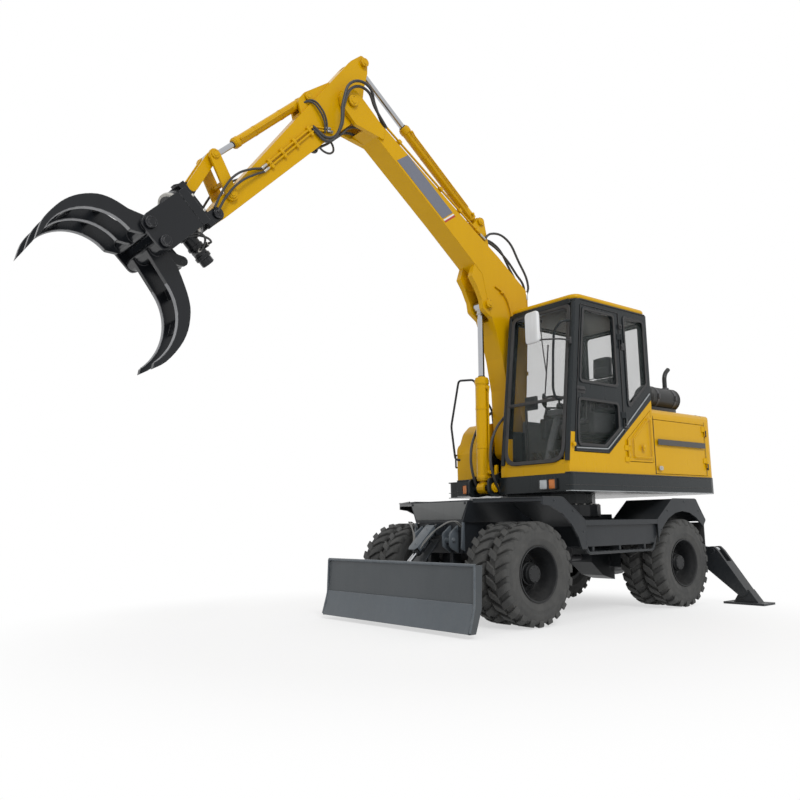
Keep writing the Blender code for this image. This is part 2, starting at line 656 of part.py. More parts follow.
def screen_x(z):
    """Front face of the cab at a height: the windscreen leans back."""
    slope = (DECK_FRONT - SCREEN_TOP_X) / (CAB_EAVES - CAB_FLOOR)
    return DECK_FRONT - slope * (z - CAB_FLOOR)


def cab_line():
    """Where the dark cab meets the yellow side below: level, then rising to the rear."""
    return [(0.0, DOOR_BOTTOM), (CAB_REAR, 2.125)]


def door_outline(inset=0.0):
    """Outline of the cab door: its lower rear corner follows the rising cab line."""
    front = 0.075
    low, high = DOOR_BOTTOM + RUN + inset, DOOR_TOP - inset
    (x0, z0), (x1, z1) = cab_line()
    slope = (z1 - z0) / (x0 - x1)
    rear = DOOR_REAR + inset
    return [(x0 + 0.005 + inset * 0.5, low), (screen_x(low) - front - inset, low),
            (screen_x(high) - front - inset, high), (rear, high), (rear, low + (0.005 + x0 - rear) * slope + inset * 0.5)]


def build_cab(upper):
    """Cab base, hollow shell, roof, glass and seat."""
    wall = CAB_WALL
    base_bottom = DECK_TOP + GAP
    line = cab_line()
    side_panel = [(DECK_FRONT, base_bottom), (screen_x(POST_TOP), POST_TOP), (screen_x(POST_TOP) - POST_DEPTH, POST_TOP),
                  (screen_x(DOOR_BOTTOM) - POST_DEPTH, DOOR_BOTTOM), line[0], line[1], (CAB_REAR, base_bottom)]
    service = service_outline(0.0)
    add = [
        box((CAB_REAR, DECK_FRONT), (CAB_RIGHT, CAB_LEFT), (base_bottom, CAB_FLOOR)),
        prism("y", CAB_LEFT - wall, CAB_LEFT, side_panel),
        prism("y", CAB_RIGHT, CAB_LEFT - 0.01, [(screen_x(SCREEN_Z[0]) - 0.07, 1.38), (DECK_FRONT - 0.0005, 1.38),
                                         (screen_x(SCREEN_Z[0]) - 0.0005, SCREEN_Z[0]),
                                         (screen_x(SCREEN_Z[0]) - 0.07, SCREEN_Z[0])]),
        prism("y", SCREEN_Y[1], CAB_LEFT - 0.01,
              [(DECK_FRONT - 0.0005, base_bottom + 0.01), (screen_x(POST_TOP) - 0.0005, POST_TOP - 0.0005),
               (screen_x(POST_TOP) - POST_DEPTH + 0.003, POST_TOP - 0.0005),
               (screen_x(CAB_FLOOR) - POST_DEPTH + 0.003, CAB_FLOOR - 0.02)]),
        prism("y", CAB_RIGHT, CAB_RIGHT + 0.07,
              [(DECK_FRONT, base_bottom), (screen_x(POST_TOP), POST_TOP), (screen_x(POST_TOP) - 0.07, POST_TOP),
               (0.52, CAB_FLOOR - 0.02)]),
        hinge_leaf(SERVICE_HINGE, 1.467, "fixed_front"),
        hinge_leaf(SERVICE_HINGE, 1.58, "fixed_front"),
    ]
    piece("cab_base", "yellow_paint", upper, add, [prism("y", CAB_LEFT - wall - 0.01, CAB_LEFT + 0.01, service)])

    outer = [(DECK_FRONT, CAB_FLOOR + GAP), (SCREEN_TOP_X, CAB_EAVES), (CAB_REAR, CAB_EAVES), (CAB_REAR, CAB_FLOOR + GAP)]
    inner = [(screen_x(1.3) - wall, 1.3), (screen_x(3.2) - wall, 3.2), (CAB_REAR + wall, 3.2), (CAB_REAR + wall, 1.3)]
    below = [(0.70, 1.38), (0.70, POST_TOP + GAP), (screen_x(POST_TOP) - POST_DEPTH - GAP, POST_TOP + GAP),
             (screen_x(DOOR_BOTTOM) - POST_DEPTH - GAP, DOOR_BOTTOM + GAP), (0.0, DOOR_BOTTOM + GAP),
             (CAB_REAR - 0.05, line[1][1] + 0.039 + GAP), (CAB_REAR - 0.05, 1.38)]
    cut = [
        prism("y", CAB_RIGHT + wall, CAB_LEFT - wall, inner),
        prism("y", CAB_LEFT - wall - 0.02, CAB_LEFT + 0.1, below),
        prism("y", CAB_RIGHT - 0.05, CAB_RIGHT + 0.07 + GAP,
              [(0.70, 1.38), (0.70, POST_TOP + GAP), (screen_x(POST_TOP) - 0.07 - GAP, POST_TOP + GAP), (0.52 - GAP, 1.38)]),
        prism("y", CAB_LEFT - wall - 0.02, CAB_LEFT + 0.1, door_outline(-RUN)),
        prism("y", CAB_LEFT - wall - 0.02, CAB_LEFT + 0.1, side_window(0.0)),
        prism("y", CAB_RIGHT - 0.1, CAB_RIGHT + wall + 0.02, right_window(0.0)),
        box((DECK_FRONT - 0.5, DECK_FRONT + 0.2), (SCREEN_Y[0], SCREEN_Y[1]), (CAB_FLOOR - 0.05, SCREEN_Z[1])),
        prism("y", CAB_RIGHT - 0.05, CAB_LEFT + 0.05,
              [(screen_x(SCREEN_Z[0]) - 0.07 - GAP, 1.35), (0.70, 1.35), (0.70, SCREEN_Z[0] + GAP),
               (screen_x(SCREEN_Z[0]) - 0.07 - GAP, SCREEN_Z[0] + GAP)]),
        box((CAB_REAR - 0.1, CAB_REAR + wall + 0.05), (REAR_GLASS_Y[0], REAR_GLASS_Y[1]), (REAR_GLASS_Z[0], REAR_GLASS_Z[1])),
    ]
    piece("cab_shell", "grey_paint", upper, [prism("y", CAB_RIGHT, CAB_LEFT, outer),
                                              hinge_leaf(DOOR_HINGE, DOOR_HINGE_Z[0], "fixed"),
                                              hinge_leaf(DOOR_HINGE, DOOR_HINGE_Z[1], "fixed")], cut)
    plan = outline((SCREEN_TOP_X + 0.03, CAB_RIGHT - 0.01, 0.06), (SCREEN_TOP_X + 0.03, CAB_LEFT + 0.01, 0.06),
                   (CAB_REAR - 0.01, CAB_LEFT + 0.01, 0.06), (CAB_REAR - 0.01, CAB_RIGHT - 0.01, 0.06))
    piece("cab_roof", "yellow_paint", upper, [prism("z", CAB_EAVES + GAP, ROOF_TOP, plan)])

    glass = 0.008
    low, high = SCREEN_Z[0] + GAP, SCREEN_Z[1] - GAP
    piece("windscreen", "glass", upper, [prism(
        "y", SCREEN_Y[0] + GAP, SCREEN_Y[1] - GAP,
        [(screen_x(low) - 0.02 - glass, low), (screen_x(low) - 0.02, low),
         (screen_x(high) - 0.02, high), (screen_x(high) - 0.02 - glass, high)])])
    piece("left_rear_window", "glass", upper, [prism("y", CAB_LEFT - 0.025, CAB_LEFT - 0.025 + glass, side_window(GAP))])
    piece("right_window", "glass", upper, [prism("y", CAB_RIGHT + 0.02, CAB_RIGHT + 0.02 + glass, right_window(GAP))])
    piece("rear_window", "glass", upper, [box(
        (CAB_REAR + 0.02, CAB_REAR + 0.02 + glass), (REAR_GLASS_Y[0] + GAP, REAR_GLASS_Y[1] - GAP),
        (REAR_GLASS_Z[0] + GAP, REAR_GLASS_Z[1] - GAP))])
    piece("seat", "seat_cloth", upper, [
        box((-0.48, -0.10), (0.38, 0.70), (CAB_FLOOR + GAP, 1.80)),
        box((-0.56, -0.02), (0.30, 0.78), (1.76, 1.90)),
        prism("y", 0.31, 0.77, [(-0.60, 1.85), (-0.44, 1.85), (-0.50, 2.42), (-0.62, 2.42)]),
        prism("y", 0.43, 0.65, [(-0.61, 2.38), (-0.52, 2.38), (-0.55, 2.64), (-0.63, 2.64)]),
        box((-0.50, 0.10), (0.19, 0.27), (1.70, 2.02)),
        box((-0.50, 0.10), (0.81, 0.89), (1.70, 2.02)),
        box((-0.48, -0.10), (0.25, 0.83), (1.70, 1.78)),
    ])


def side_window(inset):
    """Fixed glass behind the door, cut off below by the rising cab line."""
    front = DOOR_REAR - 0.095 - inset
    return [(front, 2.02 + inset), (front, CAB_EAVES - 0.08 - inset),
            (CAB_REAR + 0.07 + inset, CAB_EAVES - 0.08 - inset), (CAB_REAR + 0.07 + inset, 2.29 + inset)]


def right_window(inset):
    low, high = 1.80 + inset, CAB_EAVES - 0.08 - inset
    return [(screen_x(low) - 0.09 - inset, low), (screen_x(high) - 0.09 - inset, high),
            (CAB_REAR + 0.07 + inset, high), (CAB_REAR + 0.07 + inset, low)]


def service_outline(inset):
    """Small access door under the rising cab line."""
    return [(-0.308 - inset, 1.47 + inset), (-0.308 - inset, 1.70 - inset), (-0.735 + inset, 2.02 - inset * 2),
            (-0.735 + inset, 1.47 + inset)]


def hinge_leaf(place, z, part):
    """Knuckle and leaf of an upright butt hinge; the moving part sits above the fixed one."""
    x, y = place
    low, high = (z, z + 0.05) if part.startswith("fixed") else (z + 0.05 + GAP, z + 0.11)
    away = 1 if part in ("moving", "fixed_front") else -1
    leaf = prism("z", low, high, [
        (x, y + 0.004), (x, CAB_LEFT + 0.001), (x + away * 0.013, CAB_LEFT + 0.001),
        (x + away * 0.013, CAB_LEFT - 0.004), (x + away * 0.05, CAB_LEFT - 0.004),
        (x + away * 0.05, CAB_LEFT + 0.006)])
    return combine([bar((x, y, low), (x, y, high), 0.008, 8), leaf], [])


def build_doors(upper):
    """Cab door with its glass, the small access door and the hood's side door."""
    hinge = joint_empty("cab_door_hinge", (*DOOR_HINGE, 2.2), upper)
    y0 = CAB_LEFT - 0.040
    frame = outline(*door_outline())
    rear = DOOR_REAR + 0.080
    upper_pane = outline((rear, 2.22, 0.05), (screen_x(2.22) - 0.115, 2.22, 0.05), (screen_x(2.94) - 0.115, 2.94, 0.05),
                         (rear, 2.94, 0.05))
    lower_pane = outline((0.06, 1.61, 0.03), (screen_x(1.61) - 0.135, 1.61, 0.03), (screen_x(1.75) - 0.115, 1.75, 0.03),
                         (screen_x(2.04) - 0.115, 2.04, 0.04), (rear, 2.04, 0.04), (rear, 1.79, 0.03))
    piece("cab_door", "grey_paint", hinge, [
        prism("y", y0, CAB_LEFT, frame),
        hinge_leaf(DOOR_HINGE, DOOR_HINGE_Z[0], "moving"),
        hinge_leaf(DOOR_HINGE, DOOR_HINGE_Z[1], "moving"),
    ], [prism("y", y0 - 0.05, CAB_LEFT + 0.05, upper_pane), prism("y", y0 - 0.05, CAB_LEFT + 0.05, lower_pane)])
    pane = [(0.05, 1.585), (screen_x(1.585) - 0.10, 1.585), (screen_x(2.965) - 0.10, 2.965), (rear - 0.025, 2.965),
            (rear - 0.025, 1.785)]
    piece("cab_door_glass", "glass", hinge, [prism("y", y0 - GAP - 0.008, y0 - GAP, pane)])

    hinge = joint_empty("service_door_hinge", (*SERVICE_HINGE, 1.6), upper)
    piece("service_door", "yellow_paint", hinge, [
        prism("y", CAB_LEFT - 0.03, CAB_LEFT, service_outline(RUN)),
        hinge_leaf(SERVICE_HINGE, 1.467, "moving_back"),
        hinge_leaf(SERVICE_HINGE, 1.58, "moving_back"),
    ])
    hinge = joint_empty("hood_door_hinge", (*HOOD_HINGE, 1.7), upper)
    low, high = HOOD_DOOR_Z
    piece("hood_door", "yellow_paint", hinge, [
        box((HOOD_SEAM + RUN, HOOD_FRONT - RUN), (HOOD_HALF - 0.03, HOOD_HALF), (low + RUN, high - RUN)),
        hinge_leaf(HOOD_HINGE, 1.45, "moving"),
        hinge_leaf(HOOD_HINGE, 1.80, "moving"),
    ])


def build_hood(upper):
    """Engine hood, engine block, counterweight, muffler, tank and tool box."""
    bottom = DECK_TOP + GAP
    outer = outline((HOOD_HALF, bottom), (HOOD_HALF, HOOD_TOP, 0.09), (-HOOD_HALF, HOOD_TOP, 0.09), (-HOOD_HALF, bottom))
    half = HOOD_HALF - HOOD_WALL
    inner = outline((half, bottom - 0.1), (half, HOOD_TOP - HOOD_WALL, 0.06), (-half, HOOD_TOP - HOOD_WALL, 0.06),
                    (-half, bottom - 0.1))
    low, high = HOOD_DOOR_Z
    rebate = box((HOOD_SEAM - 0.1, HOOD_FRONT + 0.1), (HOOD_HALF - 0.03 - GAP, HOOD_HALF + 0.05), (low, high))
    opening = box((HOOD_SEAM + HOOD_WALL, HOOD_FRONT - HOOD_WALL), (half - 0.05, HOOD_HALF), (low + 0.02, high - 0.02))
    piece("hood", "yellow_paint", upper, [
        prism("x", HOOD_SEAM + GAP, HOOD_FRONT, outer),
    ], [prism("x", HOOD_SEAM + HOOD_WALL, HOOD_FRONT - HOOD_WALL, inner), rebate, opening])
    piece("engine", "cast_iron", upper, [box((-1.60, -0.95), (-0.65, 0.65), (bottom, 1.90))])
    plan = outline((HOOD_SEAM, HOOD_HALF), (HOOD_REAR, HOOD_HALF, 0.10), (HOOD_REAR, -HOOD_HALF, 0.10), (HOOD_SEAM, -HOOD_HALF))
    weight = prism("z", bottom, HOOD_TOP, plan)
    crown = prism("x", HOOD_REAR - 0.1, HOOD_SEAM + 0.1, [
        (HOOD_HALF + 0.1, HOOD_TOP - 0.09), (HOOD_HALF, HOOD_TOP - 0.09)] + [
        Vector((HOOD_HALF - 0.09 + 0.09 * math.cos(a), HOOD_TOP - 0.09 + 0.09 * math.sin(a)))
        for a in (math.radians(22.5 * i) for i in range(1, 5))] + [(HOOD_HALF - 0.09, HOOD_TOP + 0.1), (HOOD_HALF + 0.1, HOOD_TOP + 0.1)])
    copy = flipped(crown.copy(), -1)
    piece("counterweight", "yellow_paint", upper, [
        weight, hinge_leaf(HOOD_HINGE, 1.45, "fixed"), hinge_leaf(HOOD_HINGE, 1.80, "fixed"),
    ], [crown, copy])
    drum_y, drum_z = MUFFLER
    piece("muffler", "black_paint", upper, [
        bar((-1.10, drum_y, drum_z), (-1.70, drum_y, drum_z), 0.13, 16),
        box((-1.63, -1.17), (drum_y - 0.10, drum_y + 0.10), (HOOD_TOP + GAP, drum_z)),
        bar((-1.57, drum_y, drum_z + 0.10), (-1.57, drum_y, 2.50), 0.025, 10),
        bar((-1.57, drum_y, 2.49), (-1.64, drum_y, 2.60), 0.025, 10),
    ])
    tank_top = 1.78
    piece("tank", "yellow_paint", upper, [prism("x", HOOD_FRONT + GAP, 0.20, outline(
        (-HOOD_HALF, bottom), (-0.285, bottom), (-0.285, tank_top), (-HOOD_HALF, tank_top, 0.08)))])
    side = outline((0.20 + GAP, bottom), (0.555, bottom), (0.555, 1.62), (0.46, 1.85, 0.12), (0.36, 1.94, 0.1), (0.20 + GAP, 1.96))
    piece("tool_box", "yellow_paint", upper, [prism("y", -0.59, -0.285, side)])


# --- Boom ------------------------------------------------------------------------------
def build_boom(upper):
    """Bent box boom from its foot pin to the elbow fork."""
    foot = joint_empty("boom_foot", (BOOM_FOOT[0], BOOM_Y, BOOM_FOOT[1]), upper)
    fx, fz = BOOM_FOOT
    ex, ez = ELBOW
    shape = outline(
        (fx - 0.085, fz - 0.03, 0.05), (fx, fz - 0.11, 0.08), (fx + 0.085, fz - 0.02, 0.05), (0.38, 2.27), (0.44, 2.60),
        (0.51, 2.85), (0.60, 3.07), (0.70, 3.47), (1.24, 3.91), (2.07, 4.56), (2.36, 4.64),
        (ex + 0.125, ez + 0.01, 0.09), (ex + 0.02, ez + 0.12, 0.09), (2.06, 4.74), (1.08, 4.10), (0.45, 3.70), (0.03, 3.40),
        (0.03, 3.21), (0.10, 2.30), steps=3)
    px, pz = BOOM_CYL_PIN
    bracket = outline((0.56, 3.00), (px + 0.075, pz - 0.06, 0.04), (px + 0.09, pz + 0.04, 0.04), (0.78, 3.32), (0.85, 3.42), (0.80, 3.56),
                      (0.66, 3.46), steps=3)
    sx, sz = ARM_CYL_BASE
    lug = outline((sx - 0.12, sz - 0.26), (sx - 0.06, sz + 0.02, 0.04), (sx + 0.0, sz + 0.065, 0.04), (sx + 0.06, sz + 0.0, 0.04),
                  (sx + 0.16, sz - 0.12), (sx + 0.10, sz - 0.26), steps=3)
    cheek = [Vector((2.00, 4.55)), Vector((2.33, 4.60))] + ring(ex, ez, 0.135, -60, 135, 6) + [Vector((1.99, 4.665))]
    plates = [prism("y", BOOM_Y - BOOM_HALF, BOOM_Y + BOOM_HALF, shape)]
    pins = [
        cross_bar(ELBOW, BOOM_Y - BOOM_HALF - 0.035, BOOM_Y + BOOM_HALF + 0.035, 0.035),
        cross_bar(ARM_CYL_BASE, BOOM_Y - 0.085, BOOM_Y + 0.085, 0.028),
    ]
    for side in (1, -1):
        plates += [
            prism("y", *span(side, 0.055, BOOM_HALF - 0.003), bracket),
            prism("y", *span(side, 0.052, 0.074), lug),
            prism("y", *span(side, ARM_HALF - 0.01, BOOM_HALF + 0.02), cheek),
        ]
        pins.append(cross_bar(BOOM_CYL_PIN, *span(side, 0.07, BOOM_HALF + 0.02), 0.04))
    slot = outline((ex - 0.235, ez + 0.30), (ex - 0.235, ez - 0.1), (ex - 0.10, ez - 0.30), (ex + 0.30, ez - 0.30), (ex + 0.30, ez + 0.30))
    pocket = ring(px, pz, 0.175, 100, 275, 8) + [(px + 0.3, pz - 0.17), (px + 0.3, pz + 0.16)]
    slotted = combine(plates, [
        prism("y", BOOM_Y - ARM_HALF - RUN, BOOM_Y + ARM_HALF + RUN, slot),
        cross_bore(BOOM_FOOT, BOOM_Y - 0.2, BOOM_Y + 0.2, 0.035),
        prism("y", BOOM_Y - 0.062, BOOM_Y + 0.062, pocket),
    ])
    piece("boom", "yellow_paint", foot, [slotted] + pins)
    boom_size = (0.0675, 1.12, 0.0325, 0.06, 0.09, 0.03, 0.59)
    cylinder_pair("boom_cylinder", "yellow_paint", upper, (BOOM_CYL_BASE[0], BOOM_Y, BOOM_CYL_BASE[1]),
                  (px, BOOM_Y, pz), (0, -1, 0), boom_size)
    return foot


def span(side, low, high):
    """A pair of Y limits on one side of the working plane."""
    return (BOOM_Y + low, BOOM_Y + high) if side > 0 else (BOOM_Y - high, BOOM_Y - low)


def combine(add, cut):
    """A joined body that goes on being worked."""
    holder = bpy.data.objects.new("holder", None)
    bpy.context.scene.collection.objects.link(holder)
    obj = piece("work", "yellow_paint", holder, add, cut)
    bm = bmesh.new()
    bm.from_mesh(obj.data)
    bpy.data.objects.remove(obj, do_unlink=True)
    bpy.data.objects.remove(holder, do_unlink=True)
    return bm


# --- Arm and tilt linkage -----------------------------------------------------------------
def arm_place(place):
    """XZ place of a point given along and square to the arm."""
    along = (Vector(ARM_TIP) - Vector(ELBOW)).normalized()
    square = Vector((-along.y, along.x))
    return Vector(ELBOW) + along * place[0] + square * place[1]


def arm_outline(*corners, steps=3):
    return outline(*[(*arm_place(c[:2]), *c[2:]) for c in corners], steps=steps)


def build_arm(foot):
    """Arm, its cylinder and the linkage that tilts the grapple."""
    elbow = joint_empty("elbow", (ELBOW[0], BOOM_Y, ELBOW[1]), foot)
    tip = (Vector(ARM_TIP) - Vector(ELBOW)).length
    shape = arm_outline(
        (-0.53, 0.20, 0.03), (-0.425, 0.105, 0.03), (-0.279, 0.025), (-0.10, -0.10, 0.06), (0.161, -0.149, 0.06), (0.534, -0.121),
        (tip - 0.05, -0.065), (tip + 0.06, -0.05, 0.05), (tip + 0.06, 0.05, 0.05), (tip - 0.04, 0.065), (1.78, 0.085),
        (1.60, 0.085), (1.422, 0.104), (0.577, 0.197), (-0.34, 0.289), (-0.50, 0.27, 0.03))
    gusset = arm_outline((0.02, 0.20), (0.58, 0.15), (TILT_BASE[0] + 0.115, TILT_BASE[1] + 0.035, 0.04),
                         (TILT_BASE[0], TILT_BASE[1] + 0.05, 0.04), (0.05, 0.262))
    q = arm_place(TILT_BASE)
    k = arm_place(ROCKER_PIN)
    shoulders = arm_outline((-0.60, 0.0), (-0.60, 0.40), (-0.235, 0.40), (-0.235, 0.0))
    barrel_room = arm_outline((0.14, 0.215), (0.90, 0.215), (0.90, 0.50), (0.14, 0.50))
    body = combine([prism("y", BOOM_Y - ARM_HALF, BOOM_Y + ARM_HALF, shape),
                    prism("y", BOOM_Y - 0.075, BOOM_Y + 0.075, gusset)],
                   [prism("y", BOOM_Y - 0.053, BOOM_Y + 0.053, shoulders),
                    prism("y", BOOM_Y - 0.050, BOOM_Y + 0.050, barrel_room),
                    cross_bore(ELBOW, BOOM_Y - 0.3, BOOM_Y + 0.3, 0.035)])
    piece("arm", "yellow_paint", elbow, [
        body,
        cross_bar(q, BOOM_Y - 0.085, BOOM_Y + 0.085, 0.025),
        cross_bar(k, BOOM_Y - 0.135, BOOM_Y + 0.135, 0.03),
    ] + [cross_bar(arm_place(ARM_CYL_PIN), *span(side, 0.06, ARM_HALF + 0.02), 0.035) for side in (1, -1)], [
        cross_bore(ARM_TIP, BOOM_Y - 0.3, BOOM_Y + 0.3, 0.03)])
    pin = arm_place(ARM_CYL_PIN)
    cylinder_pair("arm_cylinder", "yellow_paint", foot, (ARM_CYL_BASE[0], BOOM_Y, ARM_CYL_BASE[1]),
                  (pin.x, BOOM_Y, pin.y), (0, -1, 0), (0.05, 1.244, 0.03, 0.055, 0.09, 0.028, 0.42))
    link = arm_place(LINK_PIN)
    cylinder_pair("tilt_cylinder", "yellow_paint", elbow, (q.x, BOOM_Y, q.y), (link.x, BOOM_Y, link.y),
                  (0, -1, 0), (0.043, 0.93, 0.025, 0.045, 0.06, 0.025, 0.18))

    rocker = joint_empty("rocker_pin", (k.x, BOOM_Y, k.y), elbow)
    along = (link - k).normalized()
    tube = k + along * 0.115
    plate = taper(k, link, 0.055, 0.05)
    add = [prism("y", *span(1, ARM_HALF + RUN, ARM_HALF + RUN + 0.024), plate),
           prism("y", *span(-1, ARM_HALF + RUN, ARM_HALF + RUN + 0.024), plate),
           cross_bar(tube, BOOM_Y - 0.11, BOOM_Y + 0.11, 0.022),
           cross_bar(link, *span(1, 0.044, 0.12), 0.024), cross_bar(link, *span(-1, 0.044, 0.12), 0.024)]
    piece("rocker", "yellow_paint", rocker, add, [cross_bore(k, BOOM_Y - 0.2, BOOM_Y + 0.2, 0.03)])

    pivot = joint_empty("link_pin", (link.x, BOOM_Y, link.y), rocker)
    top = grapple_place(HANGER_P, TOP_PIN_Q)
    plate = taper(link, top, 0.045, 0.045)
    middle = link.lerp(top, 0.5)
    add = [prism("y", *span(1, 0.050, 0.072), plate), prism("y", *span(-1, 0.050, 0.072), plate),
           cross_bar(middle, BOOM_Y - 0.06, BOOM_Y + 0.06, 0.022)]
    piece("tilt_link", "yellow_paint", pivot, add, [cross_bore(link, BOOM_Y - 0.2, BOOM_Y + 0.2, 0.024)])
    return elbow


def taper(start, end, start_radius, end_radius):
    """Outline of a link plate: two round ends and straight sides."""
    along = Vector(end) - Vector(start)
    angle = math.degrees(math.atan2(along.y, along.x))
    return ring(start[0], start[1], start_radius, angle + 90, angle + 270, 6) + ring(
        end[0], end[1], end_radius, angle - 90, angle + 90, 6)


# --- Grapple -------------------------------------------------------------------------------

def grapple_place(p, q):
    """XZ place of a point p along the grapple's axis and q square to it."""
    return Vector((GRAPPLE_ORIGIN[0] + DIAGONAL * (p + q), GRAPPLE_ORIGIN[1] + DIAGONAL * (q - p)))


def grapple_outline(*corners, steps=3):
    return outline(*[(*grapple_place(*c[:2]), *c[2:]) for c in corners], steps=steps)


def arc_places(p, q, radius, first, last, steps):
    return [tuple(v) for v in ring(p, q, radius, first, last, steps)]


def flowing(places, steps=3):
    """A smooth line through places, with a few steps between each two."""
    ends = [places[0], *places, places[-1]]
    made = []
    for a, b, c, d in zip(ends, ends[1:], ends[2:], ends[3:]):
        for k in range(steps):
            t = k / steps
            made.append(tuple(0.5 * (2 * b[i] + (c[i] - a[i]) * t + (2 * a[i] - 5 * b[i] + 4 * c[i] - d[i]) * t * t
                                     + (3 * b[i] - a[i] - 3 * c[i] + d[i]) * t ** 3) for i in (0, 1)))
    return made + [places[-1]]


def tine(jaw):
    """Outline of one curved tine, in p and q: inner arc, point, outer edge."""
    if jaw == "upper":
        inner = arc_places(0.80, 0.12, 0.358, 64, 180, 14)
        outer = [(0.352, 0.250), (0.401, 0.362), (0.470, 0.446), (0.580, 0.506), (0.695, 0.530), (0.815, 0.522),
                 (0.923, 0.495), (1.04, 0.425)]
        root = [(JAW_PIN_P + 0.075, JAW_PIN_Q - 0.03), (JAW_PIN_P, JAW_PIN_Q - 0.055), (JAW_PIN_P - 0.06, JAW_PIN_Q + 0.01)]
    else:
        inner = arc_places(0.857, -0.281, 0.439, 184, 278, 14)[::-1]
        outer = [(0.262, -0.280), (0.306, -0.400), (0.356, -0.512), (0.421, -0.605), (0.538, -0.698), (0.675, -0.750),
                 (0.840, -0.766), (0.955, -0.741)]
        root = [(JAW_PIN_P + 0.075, -JAW_PIN_Q + 0.03), (JAW_PIN_P, -JAW_PIN_Q + 0.055), (JAW_PIN_P - 0.06, -JAW_PIN_Q - 0.01)]
    return [grapple_place(*point) for point in inner + root + flowing(outer)]


